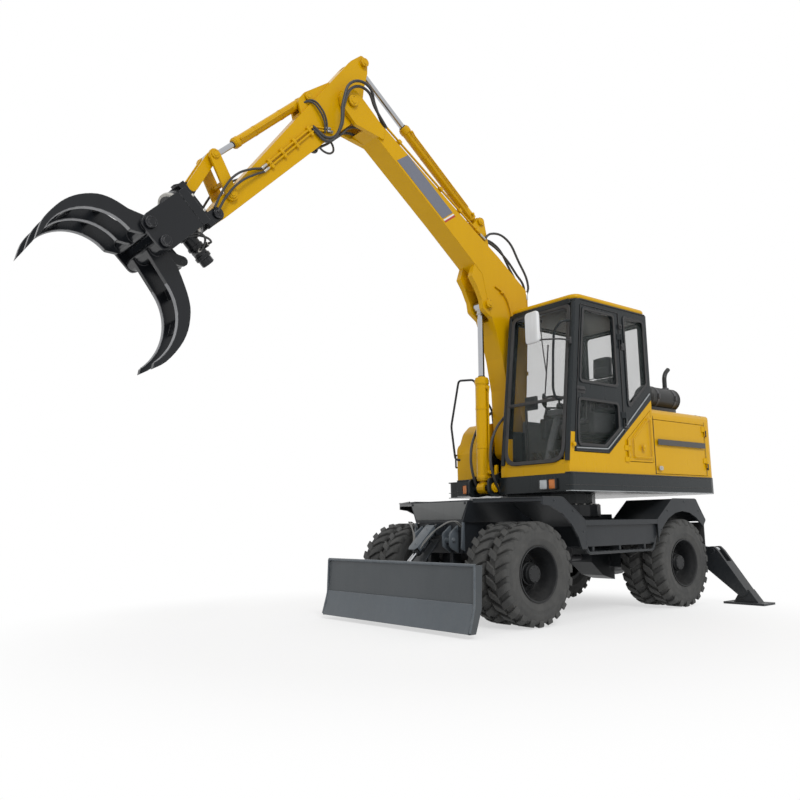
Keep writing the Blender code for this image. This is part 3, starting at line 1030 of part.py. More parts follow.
def build_grapple(elbow):
    """Hanger, turning head, both jaws and the cylinder between them."""
    tip = Vector(ARM_TIP)
    hanger = joint_empty("hanger_pin", (tip.x, BOOM_Y, tip.y), elbow)
    top = grapple_place(HANGER_P, TOP_PIN_Q)
    tip_p, tip_q = grapple_back(tip)
    ear = [grapple_place(-0.26, tip_q - 0.055), grapple_place(-0.20, tip_q - 0.055), grapple_place(-0.20, tip_q + 0.055),
           grapple_place(-0.26, tip_q + 0.055)] + [
        grapple_place(p, q) for p, q in arc_places(tip_p, tip_q, 0.055, 90, 270, 6)]
    lug = grapple_outline((-0.24, TOP_PIN_Q - 0.09), (HANGER_P - 0.04, TOP_PIN_Q - 0.04, 0.03),
                          (HANGER_P - 0.04, TOP_PIN_Q + 0.04, 0.03), (-0.24, TOP_PIN_Q + 0.09))
    seat = grapple_outline((-0.265, -0.20), (-0.205, -0.20), (-0.205, 0.20), (-0.265, 0.20))
    add = [prism("y", BOOM_Y - 0.14, BOOM_Y + 0.14, seat),
           prism("y", BOOM_Y - 0.030, BOOM_Y + 0.030, lug),
           bar(at_grapple(-0.225, 0, 0), at_grapple(-0.17 - GAP, 0, 0), 0.185, 24),
           cross_bar(ARM_TIP, BOOM_Y - 0.135, BOOM_Y + 0.135, 0.03)]
    for side in (1, -1):
        add.append(prism("y", *span(side, ARM_HALF + RUN, ARM_HALF + RUN + 0.026), ear))
    piece("hanger", "black_paint", hanger, add)

    turning = joint_empty("rotator", at_grapple(-0.17, 0, 0), hanger)
    head_plate = grapple_outline((-0.09, -0.15), (0.05, -0.155), (JAW_PIN_P - 0.02, -0.155, 0.04), (JAW_PIN_P + 0.065, -0.13, 0.05),
                                 (JAW_PIN_P + 0.065, 0.13, 0.05), (JAW_PIN_P - 0.02, 0.155, 0.04), (-0.09, 0.15))
    cap = grapple_outline((-0.12, -0.155), (-0.045, -0.155), (-0.045, 0.15), (-0.12, 0.15))
    add = [bar(at_grapple(-0.17, 0, 0), at_grapple(-0.10, 0, 0), 0.20, 24),
           prism("y", BOOM_Y - 0.335, BOOM_Y + 0.335, cap),
           bar(at_grapple(-0.06, -0.14, 0.0), at_grapple(-0.06, -0.42, 0.0), 0.055, 12)]
    for side in (1, -1):
        add.append(prism("y", *span(side, 0.305, 0.330), head_plate))
        for q in (JAW_PIN_Q, -JAW_PIN_Q):
            add.append(cross_bar(grapple_place(JAW_PIN_P, q), *span(side, 0.22, 0.345), 0.030))
    piece("grapple_head", "black_paint", turning, add)

    for jaw, sign, rows in (("upper", 1, (-1, 0, 1)), ("lower", -1, (-0.5, 0.5))):
        place = grapple_place(JAW_PIN_P, sign * JAW_PIN_Q)
        pivot = joint_empty(f"{jaw}_jaw_pin", (place.x, BOOM_Y, place.y), turning)
        tube = 0.300
        add = [cross_bar(place, BOOM_Y - tube + 0.0, BOOM_Y + tube, 0.062, 16)]
        for row in rows:
            middle = BOOM_Y + row * TINE_GAP
            add.append(prism("y", middle - TINE_THICK / 2, middle + TINE_THICK / 2, tine(jaw)))
        tail = TAIL_UPPER if jaw == "upper" else TAIL_LOWER
        tail_place = grapple_place(*tail)
        for side in (1, -1):
            add.append(prism("y", *span(side, JAW_SLOT, JAW_SLOT + 0.022), taper(place, tail_place, 0.05, 0.04)))
        pins = []
        if jaw == "upper":
            webs = [((0.60, 0.475), (0.72, 0.49), 0.02), ((0.40, 0.36), (0.45, 0.40), 0.02)]
            reach = TINE_GAP
            cut = [prism("y", BOOM_Y - JAW_SLOT, BOOM_Y + JAW_SLOT, grapple_outline((0.0, 0.0), (0.302, 0.0), (0.302, 0.25), (0.0, 0.25)))]
        else:
            webs = [((0.46, -0.60), (0.56, -0.665), 0.02), ((0.33, -0.38), (0.36, -0.46), 0.02)]
            reach = TINE_GAP / 2
            pins = [cross_bar(tail_place, BOOM_Y - JAW_SLOT - 0.028, BOOM_Y + JAW_SLOT + 0.028, 0.02)]
            cut = [prism("y", BOOM_Y - JAW_SLOT, BOOM_Y + JAW_SLOT, grapple_outline((0.0, -0.2), (0.319, -0.2), (0.319, 0.0), (0.0, 0.0)))]
        for start, end, thick in webs:
            add.append(prism("y", BOOM_Y - reach, BOOM_Y + reach, strip(start, end, thick)))
        cut.append(cross_bore(place, BOOM_Y - 0.4, BOOM_Y - 0.215, 0.030))
        cut.append(cross_bore(place, BOOM_Y + 0.215, BOOM_Y + 0.4, 0.030))
        piece(f"{jaw}_jaw", "black_paint", pivot, [combine(add, cut)] + pins)
        if jaw == "lower":
            lower_pivot = pivot
    base = grapple_place(*TAIL_LOWER)
    pin = grapple_place(*TAIL_UPPER)
    cylinder_pair("jaw_cylinder", "black_paint", lower_pivot, (base.x, BOOM_Y, base.y), (pin.x, BOOM_Y, pin.y),
                  (0, -1, 0), (0.036, 0.28, 0.022, 0.034, 0.080, 0.02, 0.03))


def strip(start, end, thick):
    """Outline of a flat web between two places in p and q."""
    a, b = grapple_place(*start), grapple_place(*end)
    square = (b - a).normalized().orthogonal() * (thick / 2)
    return [a - square, b - square, b + square, a + square]


def grapple_back(place):
    """p and q of an XZ place."""
    dx, dz = place[0] - GRAPPLE_ORIGIN[0], place[1] - GRAPPLE_ORIGIN[1]
    return DIAGONAL * (dx - dz), DIAGONAL * (dx + dz)


def at_grapple(p, q, r):
    place = grapple_place(p, q)
    return Vector((place.x, BOOM_Y + r, place.y))


# --- Whole machine ----------------------------------------------------------------------------
def settle_on_origin(machine):
    """Put the middle of the machine's underside on the world origin."""
    bpy.context.view_layer.update()
    low = Vector((math.inf,) * 3)
    high = -low
    for obj in bpy.context.scene.objects:
        if obj.type != "MESH":
            continue
        for vertex in obj.data.vertices:
            place = obj.matrix_world @ vertex.co
            low = Vector(map(min, low, place))
            high = Vector(map(max, high, place))
    machine.location = (-(low.x + high.x) / 2, -(low.y + high.y) / 2, -low.z)


def main():
    clear_scene()
    machine = joint_empty("log_loader", (0, 0, 0))
    build_chassis(machine)
    for side, word in ((1, "left"), (-1, "right")):
        build_fender(machine, side, f"{word}_fender")
    build_axles(machine)
    build_running_gear(machine)
    build_blade(machine)
    build_outriggers(machine)
    upper = joint_empty("slew", (SWING_X, 0, RING_SPLIT), machine)
    build_deck(upper)
    build_cab(upper)
    build_doors(upper)
    build_hood(upper)
    foot = build_boom(upper)
    elbow = build_arm(foot)
    build_grapple(elbow)
    settle_on_origin(machine)


if __name__ == "__main__":
    main()
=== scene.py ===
"""Looks of a wheeled log loader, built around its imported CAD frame.

Every place is given in the machine's own drawing axes (X forward, Y left, Z up,
metres, ground at 0) and moved onto the frame by the slewing joint's place. Each
sub-assembly is a class that builds its pieces and sets them riding on the
frame's bodies; each finish is a frozen class that makes one material.
"""

import json
import logging
import math
from collections.abc import Callable, Sequence
from dataclasses import dataclass, field
from enum import Enum
from typing import Any

import bmesh
import bpy
from mathutils import Matrix, Vector

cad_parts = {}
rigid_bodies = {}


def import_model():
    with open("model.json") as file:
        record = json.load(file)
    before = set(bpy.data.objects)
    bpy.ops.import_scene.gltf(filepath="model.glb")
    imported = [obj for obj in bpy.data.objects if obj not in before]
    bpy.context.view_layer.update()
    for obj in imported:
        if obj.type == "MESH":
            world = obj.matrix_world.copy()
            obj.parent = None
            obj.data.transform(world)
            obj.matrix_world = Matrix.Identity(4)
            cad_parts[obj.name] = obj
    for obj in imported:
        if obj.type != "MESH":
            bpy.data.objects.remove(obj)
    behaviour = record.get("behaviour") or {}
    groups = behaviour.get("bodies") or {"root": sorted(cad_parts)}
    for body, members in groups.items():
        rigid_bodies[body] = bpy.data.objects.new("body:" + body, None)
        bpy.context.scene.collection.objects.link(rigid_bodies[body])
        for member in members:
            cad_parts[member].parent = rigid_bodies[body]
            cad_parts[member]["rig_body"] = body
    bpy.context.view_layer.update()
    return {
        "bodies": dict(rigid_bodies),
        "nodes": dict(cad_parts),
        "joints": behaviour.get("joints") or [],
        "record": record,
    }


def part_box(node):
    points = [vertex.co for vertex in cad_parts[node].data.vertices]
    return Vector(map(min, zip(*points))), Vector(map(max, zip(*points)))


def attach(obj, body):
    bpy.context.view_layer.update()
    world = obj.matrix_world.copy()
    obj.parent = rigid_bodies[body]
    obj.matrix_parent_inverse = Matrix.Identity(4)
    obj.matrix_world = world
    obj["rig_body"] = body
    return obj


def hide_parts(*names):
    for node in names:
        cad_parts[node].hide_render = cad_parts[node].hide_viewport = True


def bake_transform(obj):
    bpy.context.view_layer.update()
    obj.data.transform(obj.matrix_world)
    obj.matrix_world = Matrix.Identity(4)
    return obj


LOG = logging.getLogger("log_loader")

Colour = tuple[float, float, float]
Pair = tuple[float, float]
Triple = tuple[float, float, float]

AHEAD, LEFT, UP = Vector((1, 0, 0)), Vector((0, 1, 0)), Vector((0, 0, 1))


# --- Datum -----------------------------------------------------------------------------
class Datum:
    """Where the drawing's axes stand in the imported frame."""

    shift: float = 0.0
    joints: dict[str, Vector] = {}

    @classmethod
    def read(cls, frame: dict[str, Any]) -> None:
        """Reads the joints' places, and finds the shift along X from the slewing joint.
        """
        cls.joints = {j["name"]: Vector(j["pos_m"]) for j in frame["joints"] if "pos_m" in j}
        cls.shift = cls.joints["slew"].x + SLEW_BACK


SLEW_BACK = 0.20        # the slewing centre is this far behind the drawing's zero
BOOM_Y = -0.10          # plane in which boom, arm and grapple work
UPPER = "upper_structure"


def at(x: float, y: float, z: float) -> Vector:
    """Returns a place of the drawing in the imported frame."""
    return Vector((x + Datum.shift, y, z))


def across(side: float) -> Vector:
    """Returns the unit vector to the left for a positive side, to the right otherwise."""
    return Vector((0, 1 if side > 0 else -1, 0))


# --- Shapes ----------------------------------------------------------------------------
class Axis(Enum):
    """The three axes of the drawing."""

    X = 0
    Y = 1
    Z = 2


def basis(origin: Vector, u: Vector, v: Vector) -> Matrix:
    """Frame with its first two axes along u and v.

    Args:
        origin: where the frame's zero is.
        u: direction of the first axis.
        v: direction of the second axis; it is squared to u.

    Returns:
        The 4 by 4 matrix that takes the frame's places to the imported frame.
    """
    u = Vector(u).normalized()
    n = u.cross(Vector(v)).normalized()
    return Matrix.Translation(origin) @ Matrix((u, n.cross(u), n)).transposed().to_4x4()


def pointing(start: Vector, end: Vector) -> Matrix:
    """Returns a frame at start whose Z runs towards end."""
    turn = (end - start).to_track_quat("Z", "Y")
    return Matrix.Translation(start) @ turn.to_matrix().to_4x4()


def rounded(points: Sequence[Sequence[float]], radius: float = 0.0, steps: int = 4) -> list[Vector]:
    """Rounds the corners of an outline.

    Args:
        points: corners as (u, v) or (u, v, own radius).
        radius: the radius of corners without one of their own.
        steps: pieces in each round corner.

    Returns:
        The outline's points in order.
    """
    made: list[Vector] = []
    count = len(points)
    for i, point in enumerate(points):
        corner = Vector(point[:2])
        size = point[2] if len(point) > 2 else radius
        before = Vector(points[i - 1][:2]) - corner
        after = Vector(points[(i + 1) % count][:2]) - corner
        half = before.angle(after) / 2 if size else 0.0
        if not size or half > math.pi / 2 - 0.02:
            made.append(corner)
            continue
        back = min(size / math.tan(half), 0.49 * before.length, 0.49 * after.length)
        start, end = corner + before.normalized() * back, corner + after.normalized() * back
        for k in range(steps + 1):
            t = k / steps
            made.append(start.lerp(corner, t).lerp(corner.lerp(end, t), t))
    return made


def rectangle(u: Pair, v: Pair, radius: float = 0.0, steps: int = 4) -> list[Vector]:
    """Returns the outline of a round-cornered rectangle between limits on each axis."""
    return rounded([(u[0], v[0]), (u[1], v[0]), (u[1], v[1]), (u[0], v[1])], radius, steps)


class Shape:
    """A mesh in the making. Its methods return it, so that calls can follow each other."""

    def __init__(self) -> None:
        """Starts an empty mesh."""
        self.bm = bmesh.new()

    def join(self, *others: "Shape") -> "Shape":
        """Takes other shapes in and frees them."""
        for other in others:
            mesh = bpy.data.meshes.new("joining")
            other.bm.to_mesh(mesh)
            other.bm.free()
            self.bm.from_mesh(mesh)
            bpy.data.meshes.remove(mesh)
        return self

    def copy(self) -> "Shape":
        """Returns a separate copy."""
        twin = Shape()
        twin.bm.free()
        twin.bm = self.bm.copy()
        return twin

    def move(self, matrix: Matrix) -> "Shape":
        """Moves, turns, scales or mirrors the whole shape."""
        bmesh.ops.transform(self.bm, matrix=matrix, verts=self.bm.verts)
        if matrix.determinant() < 0:
            bmesh.ops.reverse_faces(self.bm, faces=self.bm.faces)
        return self

    def shift(self, x: float, y: float, z: float) -> "Shape":
        """Moves the shape along the axes."""
        return self.move(Matrix.Translation((x, y, z)))

    def round(self, radius: float, segments: int = 2, angle: float = 30.0) -> "Shape":
        """Bevels the edges that are sharper than an angle in degrees."""
        limit = math.radians(angle)
        edges = [e for e in self.bm.edges if len(e.link_faces) == 2 and e.calc_face_angle(0.0) > limit]
        if edges and radius > 0:
            bmesh.ops.bevel(self.bm, geom=edges, offset=radius, offset_type="OFFSET", segments=segments,
                            profile=0.5, affect="EDGES", material=-1, clamp_overlap=True)
        return self

    def outward(self) -> "Shape":
        """Closes doubled points and turns every face outwards."""
        bmesh.ops.remove_doubles(self.bm, verts=self.bm.verts, dist=1e-5)
        bmesh.ops.recalc_face_normals(self.bm, faces=self.bm.faces)
        return self

    def around(self, count: int, centre: Vector, axis: Vector, first: float = 0.0) -> "Shape":
        """Repeats the shape round an axis.

        Args:
            count: how many there are in the full turn.
            centre: a point on the axis.
            axis: the axis's direction.
            first: angle of the first one, in degrees.
        """
        one, whole = self.bm, Shape()
        for i in range(count):
            turn = Matrix.Rotation(math.radians(first) + math.tau * i / count, 4, axis)
            twin = Shape()
            twin.bm.free()
            twin.bm = one.copy()
            whole.join(twin.move(Matrix.Translation(centre) @ turn @ Matrix.Translation(-centre)))
        one.free()
        self.bm = whole.bm
        return self

    def both_sides(self, middle: float = 0.0) -> "Shape":
        """Adds the mirror image across a plane of constant Y."""
        flip = Matrix.Translation((0, 2 * middle, 0)) @ Matrix.Diagonal((1, -1, 1, 1))
        return self.join(self.copy().move(flip))


def block(x: Pair, y: Pair, z: Pair, edge: float = 0.0, segments: int = 2) -> Shape:
    """A block between limits on each axis of the drawing, with rounded edges."""
    made = Shape()
    low, high = at(x[0], y[0], z[0]), at(x[1], y[1], z[1])
    bmesh.ops.create_cube(made.bm, size=1.0)
    bmesh.ops.scale(made.bm, vec=high - low, verts=made.bm.verts)
    bmesh.ops.translate(made.bm, vec=(low + high) / 2, verts=made.bm.verts)
    return made.round(edge, segments)


def slab(points: Sequence[Sequence[float]], thick: float, edge: float = 0.0, segments: int = 2) -> Shape:
    """A flat plate in its own frame: the outline in u and v, and from 0 to thick along n."""
    made = Shape()
    verts = [made.bm.verts.new((p[0], p[1], 0.0)) for p in points]
    face = made.bm.faces.new(verts)
    grown = bmesh.ops.extrude_face_region(made.bm, geom=[face])["geom"]
    top = [g for g in grown if isinstance(g, bmesh.types.BMVert)]
    bmesh.ops.translate(made.bm, vec=(0, 0, thick), verts=top)
    bmesh.ops.recalc_face_normals(made.bm, faces=made.bm.faces)
    return made.round(edge, segments)


def border(outer: Sequence[Sequence[float]], inner: Sequence[Sequence[float]], thick: float,
           edge: float = 0.0) -> Shape:
    """A flat frame between two outlines of as many points, in its own u, v and n."""
    made = Shape()
    loops = []
    for outline in (outer, inner):
        verts = [made.bm.verts.new((p[0], p[1], 0.0)) for p in outline]
        loops += [made.bm.edges.new((verts[i - 1], verts[i])) for i in range(len(verts))]
    bmesh.ops.bridge_loops(made.bm, edges=loops)
    grown = bmesh.ops.extrude_face_region(made.bm, geom=made.bm.faces[:])["geom"]
    top = [g for g in grown if isinstance(g, bmesh.types.BMVert)]
    bmesh.ops.translate(made.bm, vec=(0, 0, thick), verts=top)
    bmesh.ops.recalc_face_normals(made.bm, faces=made.bm.faces)
    return made.round(edge, 1, 60.0)


def plate(axis: Axis, low: float, high: float, points: Sequence[Sequence[float]],
          edge: float = 0.0, segments: int = 2) -> Shape:
    """A plate square to one axis.

    Args:
        axis: the axis that the plate is square to.
        low: its lower face on that axis.
        high: its upper face on that axis.
        points: the outline, as the other two coordinates in the order of the alphabet.
        edge: radius of its edges.
        segments: steps in each rounded edge.

    Returns:
        The plate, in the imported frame.
    """
    frames = {
        Axis.X: basis(at(low, 0, 0), LEFT, UP),
        Axis.Y: basis(at(0, high, 0), AHEAD, UP),
        Axis.Z: basis(at(0, 0, low), AHEAD, LEFT),
    }
    # Square to Y, the frame's own normal points to -Y, so it starts at the high face.
    return slab(points, high - low, edge, segments).move(frames[axis])


def rod(start: Vector, end: Vector, radius: float, end_radius: float | None = None,
        sides: int = 20, edge: float = 0.0) -> Shape:
    """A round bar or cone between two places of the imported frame."""
    made = Shape()
    length = (end - start).length
    bmesh.ops.create_cone(made.bm, cap_ends=True, segments=sides, radius1=radius,
                          radius2=radius if end_radius is None else end_radius, depth=length)
    made.shift(0, 0, length / 2)
    made.round(edge, 2, 50.0)
    return made.move(pointing(start, end))


def nut(start: Vector, end: Vector, radius: float) -> Shape:
    """A hexagonal hose fitting between two places."""
    return rod(start, end, radius, None, 6, 0.003)


def turned(profile: Sequence[Pair], start: Vector, towards: Vector, sides: int = 32,
           whole: bool = False) -> Shape:
    """A body turned about an axis.

    Args:
        profile: (along, radius) places in order; both ends on the axis, or whole.
        start: the axis's zero.
        towards: a second point on the axis.
        sides: steps in the turn.
        whole: True where the profile's last place joins its first.

    Returns:
        The closed body.
    """
    made = Shape()
    verts = [made.bm.verts.new((radius, 0.0, along)) for along, radius in profile]
    edges = [made.bm.edges.new(pair) for pair in zip(verts, verts[1:])]
    if whole:
        edges.append(made.bm.edges.new((verts[-1], verts[0])))
    bmesh.ops.spin(made.bm, geom=verts + edges, cent=(0, 0, 0), axis=(0, 0, 1), angle=math.tau,
                   steps=sides, use_merge=True)
    return made.outward().move(pointing(start, towards))


def tube(points: Sequence[Vector], radius: float, straight: bool = False, sides: int = 3) -> Shape:
    """A pipe or hose along a line of places.

    Args:
        points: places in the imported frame.
        radius: the pipe's radius.
        straight: True for straight runs with tight bends, False for one smooth curve.
        sides: how finely the section is rounded.

    Returns:
        The closed tube.
    """
    curve = bpy.data.curves.new("line", "CURVE")
    curve.dimensions = "3D"
    curve.bevel_depth = radius
    curve.bevel_resolution = sides
    curve.use_fill_caps = True
    curve.resolution_u = 6
    if straight:
        spline = curve.splines.new("POLY")
        path = bent(points, radius * 3.0)
        spline.points.add(len(path) - 1)
        for point, place in zip(spline.points, path):
            point.co = (*place, 1.0)
    else:
        spline = curve.splines.new("BEZIER")
        spline.bezier_points.add(len(points) - 1)
        for point, place in zip(spline.bezier_points, points):
            point.co = place
            point.handle_left_type = point.handle_right_type = "AUTO"
    holder = bpy.data.objects.new("line", curve)
    mesh = bpy.data.meshes.new_from_object(holder)
    made = Shape()
    made.bm.from_mesh(mesh)
    bpy.data.objects.remove(holder)
    bpy.data.curves.remove(curve)
    bpy.data.meshes.remove(mesh)
    return made.outward()


def bent(points: Sequence[Vector], radius: float, steps: int = 4) -> list[Vector]:
    """Returns a line's places with each bend rounded to about a radius."""
    made = [points[0]]
    for before, corner, after in zip(points, points[1:], points[2:]):
        back = min(radius, 0.45 * (before - corner).length, 0.45 * (after - corner).length)
        start = corner + (before - corner).normalized() * back
        end = corner + (after - corner).normalized() * back
        for k in range(steps + 1):
            t = k / steps
            made.append(start.lerp(corner, t).lerp(corner.lerp(end, t), t))
    return made + [points[-1]]


def bolt(place: Vector, out: Vector, radius: float = 0.011) -> Shape:
    """A washer with a hexagon head, standing on a face."""
    way = Vector(out).normalized()
    washer = rod(place - way * 0.002, place + way * radius * 0.25, radius * 1.35, None, 14)
    head = rod(place, place + way * radius * 0.95, radius, radius * 0.9, 6, radius * 0.12)
    return washer.join(head)


def bolts(places: Sequence[Vector], out: Vector, radius: float = 0.011) -> Shape:
    """Several bolts that stand the same way."""
    return Shape().join(*[bolt(place, out, radius) for place in places])


def pin_cap(place: Vector, out: Vector, radius: float) -> Shape:
    """The end of a pin: its collar and two bolts."""
    way = Vector(out).normalized()
    side = UP if abs(way.z) < 0.9 else AHEAD
    collar = turned([(-0.004, 0.0), (-0.004, radius * 1.35), (0.008, radius * 1.35), (0.012, radius * 1.25),
                     (0.012, radius * 0.8), (0.018, radius * 0.72), (0.018, 0.0)], place, place + way, 20)
    return collar.join(bolts([place + way * 0.012 + side * radius * 1.02 * s for s in (1, -1)], way, radius * 0.16))


def put(name: str, shape: Shape, finish: "Finish", body: str, replaces: Sequence[str] = (),
        smooth: float = 32.0) -> bpy.types.Object:
    """Makes the finished piece from a shape.

    Args:
        name: the piece's name.
        shape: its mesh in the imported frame; it is freed.
        finish: what it is dressed in.
        body: the CAD body that it rides on.
        replaces: CAD nodes that it stands for.
        smooth: edges sharper than this many degrees stay sharp.

    Returns:
        The piece's object.
    """
    mesh = bpy.data.meshes.new(name)
    shape.bm.to_mesh(mesh)
    shape.bm.free()
    mesh.shade_smooth()
    mesh.set_sharp_from_angle(angle=math.radians(smooth))
    mesh.materials.append(finish.material())
    piece = bpy.data.objects.new(name, mesh)
    bpy.context.scene.collection.objects.link(piece)
    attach(piece, body)
    if replaces:
        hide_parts(*replaces)
    LOG.info("%s: %d faces, on %s", name, len(mesh.polygons), body)
    return piece


def put_blended(name: str, shape: Shape, finish: "Finish", bodies: tuple[str, str]) -> bpy.types.Object:
    """Makes a hose that is put on the first of two bodies, then set loose from it where it stands."""
    piece = put(name, shape, finish, bodies[0])
    piece.parent = None
    del piece["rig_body"]
    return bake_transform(piece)


# --- Shader groups ---------------------------------------------------------------------
class Web:
    """A node tree being wired."""

    def __init__(self, tree: bpy.types.NodeTree) -> None:
        """Keeps the tree."""
        self.tree = tree

    def node(self, kind: str, values: dict[str | int, Any] | None = None, **settings: Any) -> bpy.types.Node:
        """Adds a node.

        Args:
            kind: its type.
            values: a socket to link or a value to set, by the input's name or number.
            settings: the node's own properties.

        Returns:
            The node.
        """
        made = self.tree.nodes.new(kind)
        for key, value in settings.items():
            setattr(made, key, value)
        for key, value in (values or {}).items():
            self.feed(made, key, value)
        return made

    def feed(self, node: bpy.types.Node, key: str | int, value: Any) -> None:
        """Links a socket to a node's input, or sets the input to a value."""
        if isinstance(value, bpy.types.NodeSocket):
            self.tree.links.new(value, node.inputs[key])
        else:
            node.inputs[key].default_value = value

    def math(self, operation: str, a: Any, b: Any = 0.0, clamp: bool = False) -> bpy.types.NodeSocket:
        """Returns the result of a Math node."""
        return self.node("ShaderNodeMath", {0: a, 1: b}, operation=operation, use_clamp=clamp).outputs[0]

    def plus(self, a: Any, b: Any, clamp: bool = False) -> bpy.types.NodeSocket:
        """Returns a sum."""
        return self.math("ADD", a, b, clamp)

    def times(self, a: Any, b: Any, clamp: bool = False) -> bpy.types.NodeSocket:
        """Returns a product."""
        return self.math("MULTIPLY", a, b, clamp)

    def noise(self, vector: Any, scale: float, detail: float = 2.0, roughness: float = 0.5) -> bpy.types.NodeSocket:
        """Returns a noise's value over the surface."""
        return self.node("ShaderNodeTexNoise", {"Vector": vector, "Scale": scale, "Detail": detail,
                                                "Roughness": roughness}).outputs[0]

    def span(self, value: Any, low: float, high: float, to_low: float = 0.0, to_high: float = 1.0
             ) -> bpy.types.NodeSocket:
        """Returns a value with one range mapped smoothly on another."""
        made = self.node("ShaderNodeMapRange", {"Value": value, "From Min": low, "From Max": high,
                                                "To Min": to_low, "To Max": to_high}, interpolation_type="SMOOTHSTEP")
        return made.outputs[0]

    def blend(self, share: Any, first: Any, second: Any) -> bpy.types.NodeSocket:
        """Returns a colour between two, by a share from 0 to 1."""
        made = self.node("ShaderNodeMix", data_type="RGBA")
        self.feed(made, 0, share)
        for key, colour in ((6, first), (7, second)):
            self.feed(made, key, (*colour, 1.0) if isinstance(colour, tuple) else colour)
        return made.outputs[2]


class Effect(Enum):
    """The shared surface effects, each a node group."""

    GRIME = "settled grime"
    WEAR = "worn edges"
    GRAIN = "fine grain"
    CLOUD = "uneven tone"
    WEAVE = "woven cloth"


def group_sockets(tree: bpy.types.NodeTree, inputs: dict[str, float | None], outputs: dict[str, str]) -> None:
    """Declares a group's sockets.

    Args:
        tree: the group.
        inputs: each input's starting value, or None for a vector.
        outputs: each output's socket type.
    """
    for name, value in inputs.items():
        kind = "NodeSocketVector" if value is None else "NodeSocketFloat"
        made = tree.interface.new_socket(name, in_out="INPUT", socket_type=kind)
        if value is not None:
            made.default_value = value
    for name, kind in outputs.items():
        tree.interface.new_socket(name, in_out="OUTPUT", socket_type=kind)


def build_grime(web: Web, given: bpy.types.Node) -> dict[str, Any]:
    """Dust that lies on upward faces and low down, broken up by noise."""
    normal = web.node("ShaderNodeNewGeometry").outputs["Normal"]
    up = web.span(web.node("ShaderNodeSeparateXYZ", {0: normal}).outputs[2], 0.2, 0.95)
    height = web.node("ShaderNodeSeparateXYZ", {0: given.outputs["Vector"]}).outputs[2]
    low = web.times(web.span(height, 0.0, 1.3, 1.0, 0.0), given.outputs["Low"])
    patches = web.span(web.noise(given.outputs["Vector"], 3.1, 5.0, 0.6), 0.35, 0.7)
    fine = web.span(web.noise(given.outputs["Vector"], 38.0, 3.0, 0.6), 0.3, 0.75)
    laid = web.plus(web.times(up, given.outputs["Flat"]), low)
    broken = web.times(laid, web.plus(web.times(patches, 0.65), 0.35))
    mask = web.times(broken, web.plus(web.times(fine, 0.5), 0.5), clamp=True)
    return {"Mask": mask}


def build_wear(web: Web, given: bpy.types.Node) -> dict[str, Any]:
    """Outer edges rubbed to a lighter tone, and normals that round them."""
    soft = web.node("ShaderNodeBevel", {"Radius": given.outputs["Radius"]}, samples=4).outputs[0]
    normal = web.node("ShaderNodeNewGeometry").outputs["Normal"]
    turn = web.node("ShaderNodeVectorMath", {0: soft, 1: normal}, operation="DOT_PRODUCT").outputs["Value"]
    sharp = web.span(turn, 0.985, 0.90)
    broken = web.span(web.noise(given.outputs["Vector"], 17.0, 4.0, 0.65), 0.38, 0.62)
    mask = web.times(web.times(sharp, broken), given.outputs["Amount"], clamp=True)
    return {"Mask": mask, "Normal": soft}


def build_grain(web: Web, given: bpy.types.Node) -> dict[str, Any]:
    """Fine surface texture over a slow unevenness."""
    scaled = web.node("ShaderNodeVectorMath", {0: given.outputs["Vector"], "Scale": given.outputs["Scale"]},
                      operation="SCALE").outputs[0]
    fine = web.noise(scaled, 1.0, 3.0, 0.55)
    slow = web.noise(given.outputs["Vector"], 4.0, 2.0, 0.5)
    return {"Height": web.plus(fine, web.times(slow, given.outputs["Slow"]))}


def build_cloud(web: Web, given: bpy.types.Node) -> dict[str, Any]:
    """A slow change of tone, for paint that is never quite even."""
    slow = web.noise(given.outputs["Vector"], 1.3, 3.0, 0.5)
    streak = web.node("ShaderNodeMapping", {0: given.outputs["Vector"], 3: (9.0, 9.0, 0.7)}).outputs[0]
    run = web.noise(streak, 1.6, 4.0, 0.6)
    both = web.plus(web.times(slow, 0.6), web.times(run, 0.4))
    return {"Mask": web.span(both, 0.3, 0.7)}


def build_weave(web: Web, given: bpy.types.Node) -> dict[str, Any]:
    """Over and under threads of a coarse seat cloth."""
    waves = []
    for axis in ("X", "Y", "Z"):
        waves.append(web.node("ShaderNodeTexWave", {"Vector": given.outputs["Vector"], "Scale": given.outputs["Scale"],
                                                    "Distortion": 0.4}, bands_direction=axis).outputs[1])
    height = web.times(web.plus(waves[0], waves[1]), web.plus(waves[2], 0.4))
    return {"Height": height, "Mask": web.span(height, 0.2, 1.6)}


EFFECTS: dict[Effect, tuple[dict[str, float | None], dict[str, str],
                            Callable[[Web, bpy.types.Node], dict[str, Any]]]] = {
    Effect.GRIME: ({"Vector": None, "Flat": 0.4, "Low": 0.3}, {"Mask": "NodeSocketFloat"}, build_grime),
    Effect.WEAR: ({"Vector": None, "Radius": 0.006, "Amount": 0.5},
                  {"Mask": "NodeSocketFloat", "Normal": "NodeSocketVector"}, build_wear),
    Effect.GRAIN: ({"Vector": None, "Scale": 400.0, "Slow": 0.5}, {"Height": "NodeSocketFloat"}, build_grain),
    Effect.CLOUD: ({"Vector": None}, {"Mask": "NodeSocketFloat"}, build_cloud),
    Effect.WEAVE: ({"Vector": None, "Scale": 60.0}, {"Height": "NodeSocketFloat", "Mask": "NodeSocketFloat"},
                   build_weave),
}


